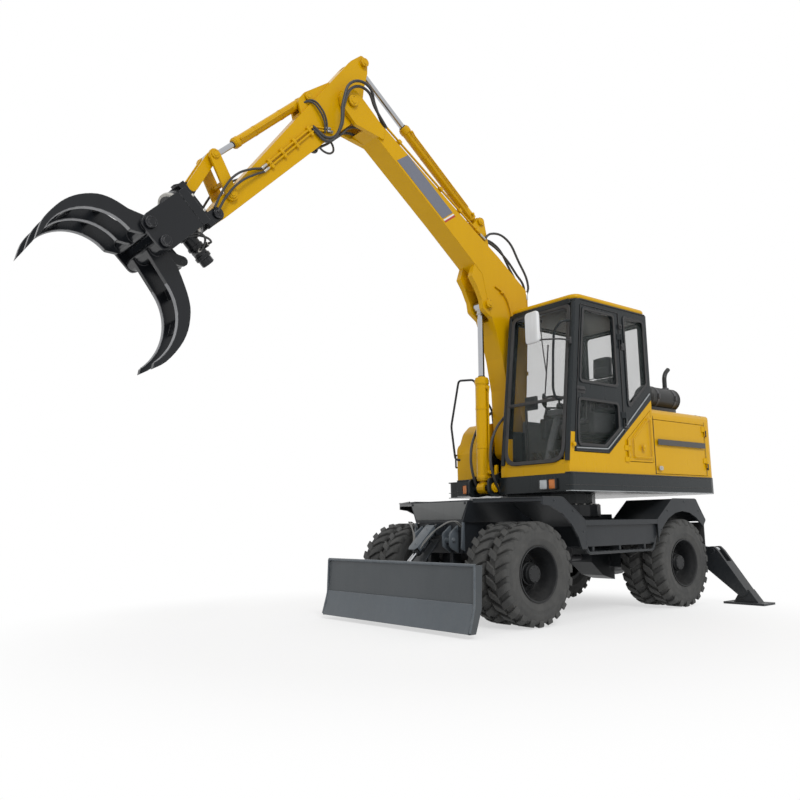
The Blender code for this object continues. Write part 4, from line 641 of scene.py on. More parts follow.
def effect_group(effect: Effect) -> bpy.types.NodeTree:
    """Returns the node group of an effect, made the first time it is asked for."""
    found = bpy.data.node_groups.get(effect.value)
    if found:
        return found
    tree = bpy.data.node_groups.new(effect.value, "ShaderNodeTree")
    inputs, outputs, build = EFFECTS[effect]
    group_sockets(tree, inputs, outputs)
    web = Web(tree)
    given = tree.nodes.new("NodeGroupInput")
    results = build(web, given)
    tree_out = tree.nodes.new("NodeGroupOutput")
    for name, socket in results.items():
        tree.links.new(socket, tree_out.inputs[name])
    return tree


# --- Finishes --------------------------------------------------------------------------
@dataclass(frozen=True)
class Finish:
    """What every finish has: its name, the record's slot and how it makes its material."""

    name: str
    slot: str
    colour: Colour

    def material(self) -> bpy.types.Material:
        """Returns the finish's material, made the first time."""
        found = bpy.data.materials.get(self.name)
        if found:
            return found
        made = bpy.data.materials.new(self.name)
        made.use_nodes = True
        web = Web(made.node_tree)
        shader = made.node_tree.nodes["Principled BSDF"]
        web.feed(shader, "Base Color", (*self.colour, 1.0))
        self.wire(web, shader, web.node("ShaderNodeTexCoord").outputs["Object"])
        made.diffuse_color = (*self.colour, 1.0)
        return made

    def wire(self, web: Web, shader: bpy.types.Node, place: bpy.types.NodeSocket) -> None:
        """Wires the finish's own nodes.

        Args:
            web: the material's tree.
            shader: its Principled BSDF.
            place: the surface's place.
        """
        raise NotImplementedError

    @staticmethod
    def effect(web: Web, effect: Effect, values: dict[str | int, Any]) -> bpy.types.Node:
        """Places a shared effect with its values."""
        return web.node("ShaderNodeGroup", values, node_tree=effect_group(effect))

    @staticmethod
    def relief(web: Web, shader: bpy.types.Node, height: Any, distance: float, strength: float,
               normal: Any = None) -> None:
        """Wires a height into the shader's normal."""
        values: dict[str | int, Any] = {"Height": height, "Distance": distance, "Strength": strength}
        if normal is not None:
            values["Normal"] = normal
        web.feed(shader, "Normal", web.node("ShaderNodeBump", values).outputs[0])


@dataclass(frozen=True)
class Paint(Finish):
    """Sprayed machine paint with orange peel, settled dust and rubbed edges."""

    second: Colour = (0.5, 0.5, 0.5)
    dust: Colour = (0.34, 0.32, 0.29)
    bare: Colour = (0.35, 0.34, 0.33)
    roughness: float = 0.3
    coat: float = 0.35
    flat: float = 0.25
    low: float = 0.25
    worn: float = 0.3
    edge: float = 0.006
    grain: float = 320.0
    relief_depth: float = 0.0004
    specular: float = 0.3
    coat_roughness: float = 0.12

    def wire(self, web: Web, shader: bpy.types.Node, place: bpy.types.NodeSocket) -> None:
        """Wires tone, dust, worn edges and grain."""
        cloud = self.effect(web, Effect.CLOUD, {"Vector": place}).outputs["Mask"]
        grime = self.effect(web, Effect.GRIME, {"Vector": place, "Flat": self.flat, "Low": self.low}).outputs["Mask"]
        wear = self.effect(web, Effect.WEAR, {"Vector": place, "Radius": self.edge, "Amount": self.worn})
        grain = self.effect(web, Effect.GRAIN, {"Vector": place, "Scale": self.grain, "Slow": 0.6})
        tone = web.blend(web.times(cloud, 0.5), self.colour, self.second)
        dusty = web.blend(grime, tone, self.dust)
        rubbed = web.blend(wear.outputs["Mask"], dusty, self.bare)
        web.feed(shader, "Base Color", rubbed)
        rough = web.plus(web.times(grime, 0.6), web.times(cloud, 0.06))
        web.feed(shader, "Roughness", web.plus(rough, self.roughness, clamp=True))
        coat = web.times(web.math("SUBTRACT", 1.0, grime, clamp=True), self.coat)
        web.feed(shader, "Coat Weight", coat)
        web.feed(shader, "Coat Roughness", self.coat_roughness)
        web.feed(shader, "Specular IOR Level", self.specular)
        self.relief(web, shader, grain.outputs[0], self.relief_depth, 0.35, wear.outputs["Normal"])


@dataclass(frozen=True)
class Rubber(Finish):
    """Black rubber with a dry bloom of pale dust in uneven patches."""

    dust: Colour = (0.125, 0.122, 0.115)
    dusting: float = 0.45
    roughness: float = 0.78
    grain: float = 260.0

    def wire(self, web: Web, shader: bpy.types.Node, place: bpy.types.NodeSocket) -> None:
        """Wires the bloom, the dust and a fine pitted grain."""
        cloud = self.effect(web, Effect.CLOUD, {"Vector": place}).outputs["Mask"]
        patches = web.span(web.noise(place, 9.0, 5.0, 0.65), 0.35, 0.75)
        uneven = web.plus(web.times(cloud, 0.5), web.times(patches, 0.5))
        dusty = web.times(uneven, self.dusting, clamp=True)
        web.feed(shader, "Base Color", web.blend(dusty, self.colour, self.dust))
        web.feed(shader, "Roughness", web.plus(web.times(dusty, 0.2), self.roughness, clamp=True))
        grain = self.effect(web, Effect.GRAIN, {"Vector": place, "Scale": self.grain, "Slow": 0.3})
        self.relief(web, shader, grain.outputs[0], 0.0008, 0.4)


@dataclass(frozen=True)
class Metal(Finish):
    """Bare, plated or cast metal with fine turning marks."""

    roughness: float = 0.12
    metallic: float = 1.0
    stain: Colour = (0.3, 0.28, 0.25)
    stained: float = 0.15
    grain: float = 900.0
    depth: float = 0.0001

    def wire(self, web: Web, shader: bpy.types.Node, place: bpy.types.NodeSocket) -> None:
        """Wires stains, uneven polish and grain."""
        web.feed(shader, "Metallic", self.metallic)
        spots = web.span(web.noise(place, 22.0, 4.0, 0.6), 0.45, 0.8)
        stain = web.times(spots, self.stained, clamp=True)
        web.feed(shader, "Base Color", web.blend(stain, self.colour, self.stain))
        uneven = web.times(web.noise(place, 55.0, 3.0, 0.6), 0.14)
        rough = web.plus(web.plus(uneven, self.roughness), web.times(stain, 0.5), clamp=True)
        web.feed(shader, "Roughness", rough)
        grain = self.effect(web, Effect.GRAIN, {"Vector": place, "Scale": self.grain, "Slow": 0.1})
        self.relief(web, shader, grain.outputs[0], self.depth, 0.3)


@dataclass(frozen=True)
class Pane(Finish):
    """Tinted safety glass with a faint film of dust."""

    opacity: float = 0.5
    index: float = 1.5
    specular: float = 0.35
    dust: Colour = (0.30, 0.33, 0.32)

    def wire(self, web: Web, shader: bpy.types.Node, place: bpy.types.NodeSocket) -> None:
        """Wires the film on the glass."""
        film = web.span(web.noise(place, 2.3, 4.0, 0.6), 0.35, 0.8)
        web.feed(shader, "Alpha", self.opacity)
        web.feed(shader, "IOR", self.index)
        web.feed(shader, "Specular IOR Level", self.specular)
        web.feed(shader, "Roughness", web.plus(web.times(film, 0.10), 0.03))
        web.feed(shader, "Base Color", web.blend(web.times(film, 0.4), self.colour, self.dust))


@dataclass(frozen=True)
class Cloth(Finish):
    """Woven seat cloth with worn pile."""

    thread: Colour = (0.10, 0.10, 0.11)
    scale: float = 110.0
    sheen: float = 0.3

    def wire(self, web: Web, shader: bpy.types.Node, place: bpy.types.NodeSocket) -> None:
        """Wires the weave into colour and relief."""
        weave = self.effect(web, Effect.WEAVE, {"Vector": place, "Scale": self.scale})
        cloud = self.effect(web, Effect.CLOUD, {"Vector": place}).outputs["Mask"]
        share = web.plus(web.times(weave.outputs["Mask"], 0.7), web.times(cloud, 0.3))
        web.feed(shader, "Base Color", web.blend(share, self.colour, self.thread))
        web.feed(shader, "Roughness", web.span(weave.outputs["Mask"], 0.0, 1.0, 0.95, 0.75))
        web.feed(shader, "Sheen Weight", self.sheen)
        self.relief(web, shader, weave.outputs["Height"], 0.0012, 0.5)


@dataclass(frozen=True)
class Plastic(Finish):
    """Moulded plastic or a lamp's lens."""

    roughness: float = 0.4
    ribs: float = 0.0
    grain: float = 500.0
    shade: float = 0.75

    def wire(self, web: Web, shader: bpy.types.Node, place: bpy.types.NodeSocket) -> None:
        """Wires tone, grain and, on a lens, its ribs."""
        cloud = self.effect(web, Effect.CLOUD, {"Vector": place}).outputs["Mask"]
        web.feed(shader, "Base Color", web.blend(cloud, self.colour, tuple(self.shade * c for c in self.colour)))
        web.feed(shader, "Roughness", web.plus(web.times(cloud, 0.1), self.roughness))
        grain = self.effect(web, Effect.GRAIN, {"Vector": place, "Scale": self.grain, "Slow": 0.2}).outputs[0]
        if self.ribs:
            lines = web.node("ShaderNodeTexWave", {"Vector": place, "Scale": self.ribs}, bands_direction="Y").outputs[1]
            grain = web.plus(lines, web.times(grain, 0.1))
        self.relief(web, shader, grain, 0.0006 if self.ribs else 0.0002, 0.4)


YELLOW = Paint("yellow machine paint", "yellow_paint", (0.620, 0.345, 0.0005), second=(0.570, 0.305, 0.0005),
               dust=(0.58, 0.38, 0.06), bare=(0.72, 0.46, 0.02), roughness=0.26, coat=0.06, flat=0.08, low=0.04,
               worn=0.18, specular=0.14)
DARK = Paint("dark cab paint", "grey_paint", (0.013, 0.017, 0.019), second=(0.009, 0.012, 0.014),
             dust=(0.11, 0.115, 0.11), bare=(0.10, 0.11, 0.12), roughness=0.24, coat=0.04, flat=0.14, low=0.06,
             worn=0.30, specular=0.22)
SLATE = Paint("slate frame paint", "frame_paint", (0.015, 0.018, 0.022), second=(0.010, 0.013, 0.016),
              dust=(0.12, 0.118, 0.110), bare=(0.13, 0.14, 0.15), roughness=0.36, coat=0.08, flat=0.30, low=0.22,
              worn=0.40)
BLADE = Paint("blade paint", "grey_paint", (0.055, 0.063, 0.070), second=(0.040, 0.047, 0.053),
              dust=(0.15, 0.15, 0.145), bare=(0.24, 0.25, 0.26), roughness=0.36, coat=0.1, flat=0.3, low=0.18,
              worn=0.55)
EDGE_PLATE = Paint("scuffed blade foot", "grey_paint", (0.082, 0.098, 0.114), second=(0.060, 0.072, 0.084),
                   dust=(0.17, 0.17, 0.165), bare=(0.30, 0.31, 0.32), roughness=0.32, coat=0.15, flat=0.25, low=0.2,
                   worn=0.6)
NOSE = Paint("dusty front plate", "frame_paint", (0.135, 0.140, 0.140), second=(0.10, 0.105, 0.107),
             dust=(0.26, 0.25, 0.235), bare=(0.25, 0.25, 0.25), roughness=0.5, coat=0.05, flat=0.5, low=0.3, worn=0.3)
BLACK = Paint("black attachment paint", "black_paint", (0.006, 0.007, 0.009), second=(0.012, 0.014, 0.017),
              dust=(0.10, 0.10, 0.10), bare=(0.19, 0.19, 0.20), roughness=0.22, coat=0.05, flat=0.10, low=0.0,
              worn=0.55, edge=0.008, specular=0.3)
# Lighter grey for the tines' inner edges: partly rubbed steel, partly a painted highlight along each tine's crease.
WORN_STEEL_AND_HIGHLIGHT = Paint("rubbed tine steel and painted highlight", "black_paint", (0.26, 0.265, 0.275), second=(0.12, 0.122, 0.13),
                   dust=(0.2, 0.2, 0.2), bare=(0.42, 0.42, 0.43), roughness=0.42, coat=0.0, flat=0.2, low=0.0,
                   worn=0.6)
RIM = Paint("dark rim paint", "frame_paint", (0.008, 0.009, 0.010), second=(0.013, 0.014, 0.016),
            dust=(0.09, 0.088, 0.084), bare=(0.09, 0.09, 0.09), roughness=0.34, coat=0.05, flat=0.25, low=0.20,
            worn=0.3, specular=0.25)
MUFFLER = Paint("heat-proof black", "black_paint", (0.016, 0.017, 0.018), second=(0.024, 0.023, 0.021),
                dust=(0.060, 0.058, 0.055), bare=(0.15, 0.10, 0.07), roughness=0.45, coat=0.1, flat=0.4, low=0.0,
                worn=0.4)
BAND = Paint("grey band", "grey_paint", (0.150, 0.160, 0.200), second=(0.130, 0.140, 0.175), roughness=0.35, coat=0.3,
             worn=0.0)
BAND_WHITE = Paint("white band end", "grey_paint", (0.75, 0.75, 0.75), second=(0.68, 0.68, 0.68), worn=0.0)
BAND_RED = Paint("red band end", "grey_paint", (0.45, 0.03, 0.02), second=(0.40, 0.03, 0.02), worn=0.0)
STRIPE = Paint("hood stripe", "black_paint", (0.040, 0.038, 0.036), second=(0.034, 0.032, 0.030), roughness=0.4,
               worn=0.05)
TREAD = Rubber("tyre rubber", "rubber", (0.034, 0.035, 0.035), dusting=0.45)
SEAL = Rubber("seal rubber", "rubber", (0.018, 0.018, 0.019), dusting=0.2, roughness=0.6, grain=600.0)
HOSE = Rubber("hose rubber", "rubber", (0.020, 0.020, 0.021), dusting=0.25, roughness=0.5, grain=900.0)
STEEL_HOSE = Metal("braided hose", "chrome", (0.16, 0.16, 0.155), roughness=0.45, metallic=0.3, stained=0.4,
                   grain=1500.0)
CHROME = Metal("hard chrome", "chrome", (0.42, 0.43, 0.45), roughness=0.10, stained=0.10)
ZINC = Metal("zinc plated steel", "chrome", (0.46, 0.45, 0.42), roughness=0.28, stained=0.3)
IRON = Metal("cast iron", "cast_iron", (0.09, 0.09, 0.095), roughness=0.5, metallic=0.6, grain=300.0, depth=0.0008)
GLASS = Pane("tinted glass", "glass", (0.030, 0.042, 0.040), opacity=0.16)
MIRROR_GLASS = Metal("mirror glass", "chrome", (0.9, 0.9, 0.9), roughness=0.02, stained=0.0)
SEAT_CLOTH = Cloth("seat cloth", "seat_cloth", (0.035, 0.036, 0.040), thread=(0.10, 0.10, 0.11))
SEAT_VINYL = Plastic("seat piping", "seat_cloth", (0.03, 0.03, 0.032), roughness=0.5)
TRIM = Plastic("light trim", "grey_paint", (0.34, 0.36, 0.37), roughness=0.4)
BLACK_PLASTIC = Plastic("black plastic", "black_paint", (0.022, 0.022, 0.024), roughness=0.45)
GREY_PLASTIC = Plastic("console plastic", "grey_paint", (0.11, 0.115, 0.12), roughness=0.5)
WHITE_PLASTIC = Plastic("white plastic", "grey_paint", (0.78, 0.79, 0.80), roughness=0.35)
CLEAR_LENS = Plastic("clear lens", "glass", (0.62, 0.66, 0.68), roughness=0.08, ribs=55.0)
AMBER_LENS = Plastic("amber lens", "glass", (0.75, 0.22, 0.03), roughness=0.1, ribs=40.0)
RED_LENS = Plastic("red lens", "glass", (0.45, 0.02, 0.015), roughness=0.1, ribs=40.0)


# --- Wheels ----------------------------------------------------------------------------
@dataclass
class Wheels:
    """Twin tyres with chevron lugs on deep-dished rims."""

    radius: float = 0.45
    axles: dict[str, float] = field(default_factory=lambda: {"front": 1.11, "rear": -1.16})
    tyre_middles: Pair = (0.8825, 0.6175)
    lugs: int = 23
    lug_width: float = 0.068
    slant: float = 0.60
    carcass: tuple[Pair, ...] = (
        (-0.078, 0.232), (-0.094, 0.240), (-0.104, 0.262), (-0.1125, 0.292), (-0.1165, 0.300), (-0.1170, 0.308),
        (-0.1145, 0.314), (-0.1175, 0.345), (-0.1165, 0.368), (-0.113, 0.374), (-0.112, 0.392), (-0.102, 0.411),
        (-0.080, 0.421), (-0.040, 0.425), (0.0, 0.426), (0.040, 0.425), (0.080, 0.421), (0.102, 0.411),
        (0.112, 0.392), (0.113, 0.374), (0.1165, 0.368), (0.1175, 0.345), (0.1145, 0.314), (0.1170, 0.308),
        (0.1165, 0.300), (0.1125, 0.292), (0.104, 0.262), (0.094, 0.240), (0.078, 0.232))
    lug: tuple[Pair, ...] = ((0.002, 0.414), (0.002, 0.4495), (0.088, 0.4485), (0.1125, 0.436), (0.1170, 0.410),
                             (0.1155, 0.384), (0.104, 0.396), (0.080, 0.412))
    rim: tuple[Pair, ...] = (
        (0.620, 0.0), (0.620, 0.12), (0.700, 0.12), (0.690, 0.195), (0.515, 0.205), (0.512, 0.238), (0.518, 0.243),
        (0.530, 0.233), (0.970, 0.233), (0.982, 0.243), (0.988, 0.240), (0.985, 0.229), (0.966, 0.221),
        (0.934, 0.215), (0.918, 0.206), (0.855, 0.202), (0.838, 0.196), (0.812, 0.191), (0.797, 0.180),
        (0.796, 0.166), (0.803, 0.158), (0.804, 0.120), (0.810, 0.112), (0.812, 0.103), (0.872, 0.098),
        (0.876, 0.088), (0.906, 0.085), (0.914, 0.078), (0.934, 0.073), (0.938, 0.030), (0.934, 0.0))
    studs: int = 10
    stud_circle: float = 0.139
    cover_screws: int = 8
    cover_circle: float = 0.060
    disc_y: float = 0.803
    cover_y: float = 0.934

    def wrap(self, lug: Shape, hub: Vector) -> Shape:
        """Slants a lug and bends it round the tyre."""
        for vert in lug.bm.verts:
            turn = (vert.co.x - hub.x - self.slant * abs(vert.co.y - hub.y)) / self.radius
            reach = vert.co.z - hub.z
            vert.co.x, vert.co.z = hub.x + reach * math.sin(turn), hub.z + reach * math.cos(turn)
        return lug

    def tyre(self, middle: float) -> Shape:
        """Returns one tyre of the front left pair, about its middle plane."""
        hub = at(self.axles["front"], middle, self.radius)
        profile = [(middle + a - hub.y, r) for a, r in self.carcass]
        body = turned(profile, hub, hub + LEFT, 72, whole=True)
        points = [(middle + a, self.radius + r) for a, r in self.lug]
        half = self.lug_width / 2
        x = self.axles["front"]
        near = self.wrap(plate(Axis.X, x - half, x + half, points, 0.005, 1), hub)
        flip = Matrix.Translation((0, 2 * middle, 0)) @ Matrix.Diagonal((1, -1, 1, 1))
        step = Matrix.Translation(hub) @ Matrix.Rotation(math.pi / self.lugs, 4, "Y") @ Matrix.Translation(-hub)
        pair = near.join(near.copy().move(step @ flip))
        return body.join(pair.around(self.lugs, hub, LEFT))

    def wheel(self) -> Shape:
        """Returns the front left rim pair with its hub, studs and valve."""
        hub = at(self.axles["front"], 0, self.radius)
        made = turned(self.rim, hub, hub + LEFT, 48)
        stud = bolt(hub + Vector((self.stud_circle, self.disc_y, 0)), LEFT, 0.0125)
        stud.join(rod(hub + Vector((self.stud_circle, 0.80, 0)), hub + Vector((self.stud_circle, 0.828, 0)), 0.0065))
        made.join(stud.around(self.studs, hub, LEFT, 9.0))
        screw = bolt(hub + Vector((self.cover_circle, self.cover_y, 0)), LEFT, 0.0065)
        made.join(screw.around(self.cover_screws, hub, LEFT))
        made.join(tube([hub + Vector((0.0, 0.80, 0.172)), hub + Vector((0.0, 0.83, 0.176)),
                        hub + Vector((0.0, 0.86, 0.188))], 0.004))
        return made

    def build(self) -> None:
        """Makes the four corners' tyres and wheels."""
        tyres = self.tyre(self.tyre_middles[0]).join(self.tyre(self.tyre_middles[1]))
        wheel = self.wheel()
        for axle, x in self.axles.items():
            for side, sign in (("left", 1), ("right", -1)):
                corner = f"{axle}_{side}"
                place = Matrix.Translation((x - self.axles["front"], 0, 0)) @ Matrix.Diagonal((1, sign, 1, 1))
                put(f"{corner}_tread", tyres.copy().move(place), TREAD, f"{corner}_twin", [f"{corner}_tyres"])
                put(f"{corner}_rim", wheel.copy().move(place), RIM, f"{corner}_twin", [f"{corner}_wheel"])
        tyres.bm.free()
        wheel.bm.free()


# --- Cylinders -------------------------------------------------------------------------
@dataclass(frozen=True)
class Cylinder:
    """The fittings on one hydraulic cylinder, whose barrel and rod are in the frame."""

    name: str
    barrel: str
    rod_body: str
    base: Vector
    pin: Vector
    radius: float
    length: float
    rod_radius: float
    side: Vector
    finish: Paint = YELLOW
    swell: float = 1.12
    has_collar: bool = True
    has_pipe: bool = True

    def pipe(self, head: Vector, foot: Vector, way: Vector) -> Shape:
        """Returns the steel pipe along the barrel, with its two clamps."""
        r, side = self.radius, self.side
        out = side * r * 1.32
        line = tube([head - way * r * 1.3 + side * r * 1.2, head - way * r * 1.3 + out + side * 0.012,
                     head - way * r * 2.2 + out, foot + way * r * 2.6 + out], max(0.006, r * 0.13), True)
        for share in (0.3, 0.7):
            place = foot.lerp(head, share)
            line.join(turned([(-0.012, r * 0.99), (-0.012, r * 1.03), (0.012, r * 1.03), (0.012, r * 0.99)],
                             place, place + way, 30, whole=True))
            line.join(bolt(place + out, side, 0.006))
        return line

    def build(self) -> None:
        """Makes the gland with the foot's ring and the ports, the pipe, the wiper and the rod's collar."""
        r, thin, side = self.radius, self.rod_radius, self.side
        way = (self.pin - self.base).normalized()
        head, foot = self.base + way * self.length, self.base + way * r * 1.6
        gland = turned([(-0.9 * r, r * 0.98), (-0.9 * r, r * (self.swell - 0.02)), (-0.1 * r, r * self.swell),
                        (0.0, r * 1.02), (0.25 * r, r * 1.0), (0.32 * r, r * 0.9), (0.32 * r, thin * 1.35),
                        (0.45 * r, thin * 1.3), (0.45 * r, thin), (-0.9 * r, thin)], head, head + way, 36, whole=True)
        gland.join(turned([(-0.25 * r, r * 0.97), (-0.25 * r, r * 1.07), (0.15 * r, r * 1.09), (0.25 * r, r * 1.0),
                           (0.25 * r, r * 0.97)], foot, foot + way, 36, whole=True))
        for place in (head - way * r * 1.3, foot + way * r * 0.7) if self.has_pipe else ():
            gland.join(rod(place + side * r * 0.8, place + side * r * 1.45, r * 0.30, None, 14, 0.002))
        put(f"{self.name}_gland", gland, self.finish, self.barrel)
        if self.has_pipe:
            put(f"{self.name}_pipe", self.pipe(head, foot, way), self.finish, self.barrel)
        wiper = turned([(0.45 * r, thin), (0.45 * r, thin * 1.18), (0.60 * r, thin * 1.14), (0.60 * r, thin)],
                       head, head + way, 28, whole=True)
        put(f"{self.name}_wiper", wiper, SEAL, self.barrel)
        if self.has_collar:
            eye = self.pin - way * thin * 1.9
            collar = turned([(-thin * 0.9, thin * 0.98), (-thin * 0.8, thin * 1.3), (thin * 0.5, thin * 1.35),
                             (thin * 0.6, thin * 0.98)], eye, eye + way, 28, whole=True)
            collar.join(rod(self.pin + side * thin * 1.2, self.pin + side * thin * 2.0, 0.005))
            put(f"{self.name}_rod_collar", collar, ZINC, self.rod_body)


# --- Chassis ---------------------------------------------------------------------------
@dataclass
class Chassis:
    """Trim of frame, fenders and steps."""

    step_x: Pair = (-0.60, 0.42)
    rail_y: float = 0.985
    rail_z: float = 0.60
    front_edge: tuple[Pair, ...] = ((0.46, 0.68), (0.46, 0.90), (0.77, 1.11), (1.04, 1.11))
    rear_edge: tuple[Pair, ...] = ((-0.70, 0.68), (-0.70, 0.90), (-0.985, 1.107), (-1.43, 1.107), (-1.59, 0.888))
    ring_centre: Pair = (-0.20, 0.0)
    ring_bolts: int = 30

    def rails(self) -> None:
        """Makes the step rail, its tread bar and struts, on both sides."""
        low, high = self.step_x
        y, z = self.rail_y, self.rail_z
        rail = tube([at(high + 0.04, y, 0.67), at(high, y, z), at(low, y, z), at(low - 0.04, y, 0.67)], 0.013, True)
        rail.join(block((low + 0.02, high - 0.02), (0.925, 0.982), (0.600, 0.612), 0.003))
        for x in (low + 0.10, (low + high) / 2, high - 0.10):
            rail.join(block((x - 0.015, x + 0.015), (0.90, 0.965), (0.604, 0.68), 0.003))
        for i in range(15):
            x = low + 0.06 + i * (high - low - 0.12) / 14
            rail.join(block((x - 0.006, x + 0.006), (0.93, 0.978), (0.611, 0.618), 0.002))
        put("step_rails", rail.both_sides(), SLATE, "chassis")

    def treads(self) -> None:
        """Makes the raised tread pattern on the step boxes' tops."""
        made = Shape()
        for i in range(17):
            for k in range(3):
                x, y = -0.66 + i * 0.067 + (k % 2) * 0.033, 0.78 + k * 0.065
                made.join(block((x - 0.017, x + 0.017), (y - 0.005, y + 0.005), (0.898, 0.905), 0.0025, 1))
        put("step_treads", made.both_sides(), SLATE, "chassis")

    def fender_lips(self) -> None:
        """Makes the rolled lips along the fenders' outer edges, with their bolts."""
        made = Shape()
        for edge in (self.front_edge, self.rear_edge):
            made.join(tube([at(x, 0.996, z) for x, z in edge], 0.006, True))
            for (x0, z0), (x1, z1) in zip(edge, edge[1:]):
                middle = at((x0 + x1) / 2, 0.999, (z0 + z1) / 2)
                inward = at(0.76 if x0 > 0 else -1.15, 0.999, 0.86)
                place = middle.lerp(inward, 0.12)
                made.join(bolt(place, LEFT, 0.008))
        made.join(tube([at(1.04, 0.994, 1.106), at(1.372, 0.425, 1.106)], 0.006, True))
        put("fender_lips", made.both_sides(), SLATE, "chassis")
        flap = plate(Axis.X, -1.615, -1.603, [(0.52, 0.30), (0.52, 0.86), (0.97, 0.86), (0.97, 0.34), (0.93, 0.30)],
                     0.003)
        put("rear_mud_flaps", flap.both_sides(), SEAL, "chassis")

    def ring(self) -> None:
        """Makes the slewing ring's bolts and grease lip."""
        centre = at(self.ring_centre[0], self.ring_centre[1], 0)
        one = bolt(centre + Vector((0.528, 0, 0.0)) + UP * 1.059, UP, 0.011)
        lip = turned([(1.045, 0.49), (1.062, 0.498), (1.066, 0.512), (1.058, 0.518), (1.045, 0.512)],
                     centre, centre + UP, 64, whole=True)
        put("slewing_ring_bolts", one.around(self.ring_bolts, centre, UP).join(lip), ZINC, "chassis")

    def nose(self) -> None:
        """Makes the front apron with its bolts, and the pin lugs and ribs below it."""
        apron = plate(Axis.X, 1.3755, 1.3795, rounded([(-0.315, 0.925), (0.315, 0.925), (0.400, 1.088),
                                                       (-0.400, 1.088)],
                                                      0.012), 0.001)
        put("front_apron", apron, NOSE, "chassis")
        places = [at(1.379, y, 1.075) for y in (-0.37, 0.37)]
        put("front_apron_bolts", bolts(places, AHEAD, 0.010), SLATE, "chassis")
        lugs = Shape()
        for y in (-0.245, -0.150, 0.150, 0.245):
            lug = rounded([(1.36, 0.62), (1.47, 0.68, 0.05), (1.47, 0.80, 0.05), (1.36, 0.88)], 0.01)
            lugs.join(plate(Axis.Y, y - 0.010, y + 0.010, lug, 0.004))
        for low, high in ((-0.262, -0.133), (0.133, 0.262)):
            lugs.join(rod(at(1.425, low, 0.740), at(1.425, high, 0.740), 0.024, None, 24, 0.005))
            for y, way in ((low, -1), (high, 1)):
                lugs.join(bolt(at(1.425, y, 0.740), Vector((0, way, 0)), 0.014))
        for y in (-0.33, 0.33):
            lugs.join(plate(Axis.Y, y - 0.008, y + 0.008, [(1.36, 0.64), (1.405, 0.66), (1.385, 0.90), (1.36, 0.90)],
                            0.003))
        put("front_lugs", lugs, EDGE_PLATE, "chassis")

    def drive(self) -> None:
        """Makes the drive shaft and its joints between the axles."""
        made = Shape()
        for x0, x1 in ((-0.30, 0.98), (-0.98, -0.42)):
            start, length = at(x0, 0.0, 0.50), x1 - x0
            made.join(turned([(0, 0), (0, 0.055), (0.02, 0.055), (0.03, 0.035), (0.10, 0.032), (length - 0.10, 0.032),
                              (length - 0.03, 0.035), (length - 0.02, 0.055), (length, 0.055), (length, 0)],
                             start, start + AHEAD, 24))
        made.join(block((-0.44, -0.28), (-0.11, 0.11), (0.40, 0.63), 0.03))
        put("drive_shaft", made, IRON, "chassis")

    def build(self) -> None:
        """Makes all of the chassis's trim."""
        self.rails()
        self.treads()
        self.fender_lips()
        self.ring()
        self.nose()
        self.drive()


# --- Blade and outriggers --------------------------------------------------------------
@dataclass
class Blade:
    """The levelling blade's wear plate, edges, pins and hoses."""

    half: float = 1.03
    foot: tuple[Pair, ...] = ((1.930, 0.262), (1.934, 0.235), (1.958, 0.130), (1.996, 0.034), (2.010, 0.037),
                              (1.970, 0.136), (1.947, 0.238), (1.940, 0.264))
    hinge: Pair = (1.32, 0.45)

    def build(self) -> None:
        """Makes the blade's pieces and its cylinder's hoses."""
        foot = plate(Axis.Y, -self.half + 0.012, self.half - 0.012, self.foot, 0.003, 1)
        put("blade_foot_plate", foot, EDGE_PLATE, "blade")
        rim = tube([at(1.921, -self.half, 0.560), at(1.921, self.half, 0.560)], 0.013)
        for y in (-1.0, 1.0):
            rim.join(tube([at(1.926, y * self.half, 0.556), at(1.940, y * self.half, 0.240),
                           at(1.998, y * self.half, 0.045)], 0.010, True))
        put("blade_rim", rim, EDGE_PLATE, "blade")
        caps = Shape()
        for y in (0.218, 0.178):
            out = across(y - 0.2)
            caps.join(pin_cap(at(self.hinge[0], y + 0.004 * out.y, self.hinge[1]), out, 0.030))
        caps.join(pin_cap(at(1.80, 0.062, 0.50), LEFT, 0.024))
        put("blade_pin_caps", caps.both_sides(), EDGE_PLATE, "blade")
        hoses = Shape()
        for y0, y1 in ((-0.30, -0.085), (-0.33, -0.07), (0.30, 0.085), (0.33, 0.07)):
            hoses.join(tube([at(1.38, y0, 0.86), at(1.46, y0, 0.91), at(1.54, (y0 + y1) / 2, 0.86),
                             at(1.60, y1 * 1.2, 0.76), at(1.66, y1 * 0.6, 0.665)], 0.0055))
        put_blended("blade_hoses", hoses, STEEL_HOSE, ("chassis", "blade_barrel"))
        base, pin = Datum.joints["blade_barrel_swing"], at(1.80, 0, 0.50)
        guard = rounded([(0.010, -0.062), (0.300, -0.062), (0.330, -0.040), (0.330, 0.040), (0.300, 0.062),
                         (0.010, 0.062)], 0.015)
        frame = basis(base, (pin - base).normalized(), LEFT)
        if frame.col[2].z < 0:
            frame = basis(base, (pin - base).normalized(), -LEFT)
        cover = slab(guard, 0.006, 0.002).move(frame @ Matrix.Translation((0, 0, 0.058)))
        for y in (-0.058, 0.052):
            cover.join(slab([(0.02, y), (0.30, y), (0.30, y + 0.006), (0.02, y + 0.006)], 0.050, 0.001).move(
                frame @ Matrix.Translation((0, 0, 0.010))))
        for s in (0.06, 0.26):
            cover.join(bolt(frame @ Vector((s, 0, 0.064)), frame.col[2].xyz, 0.009))
        put("blade_cylinder_guard", cover, EDGE_PLATE, "blade_barrel")
        Cylinder("blade_cylinder", "blade_barrel", "blade_rod", base, pin, 0.040, 0.30, 0.022,
                 LEFT, finish=SLATE, has_collar=False).build()


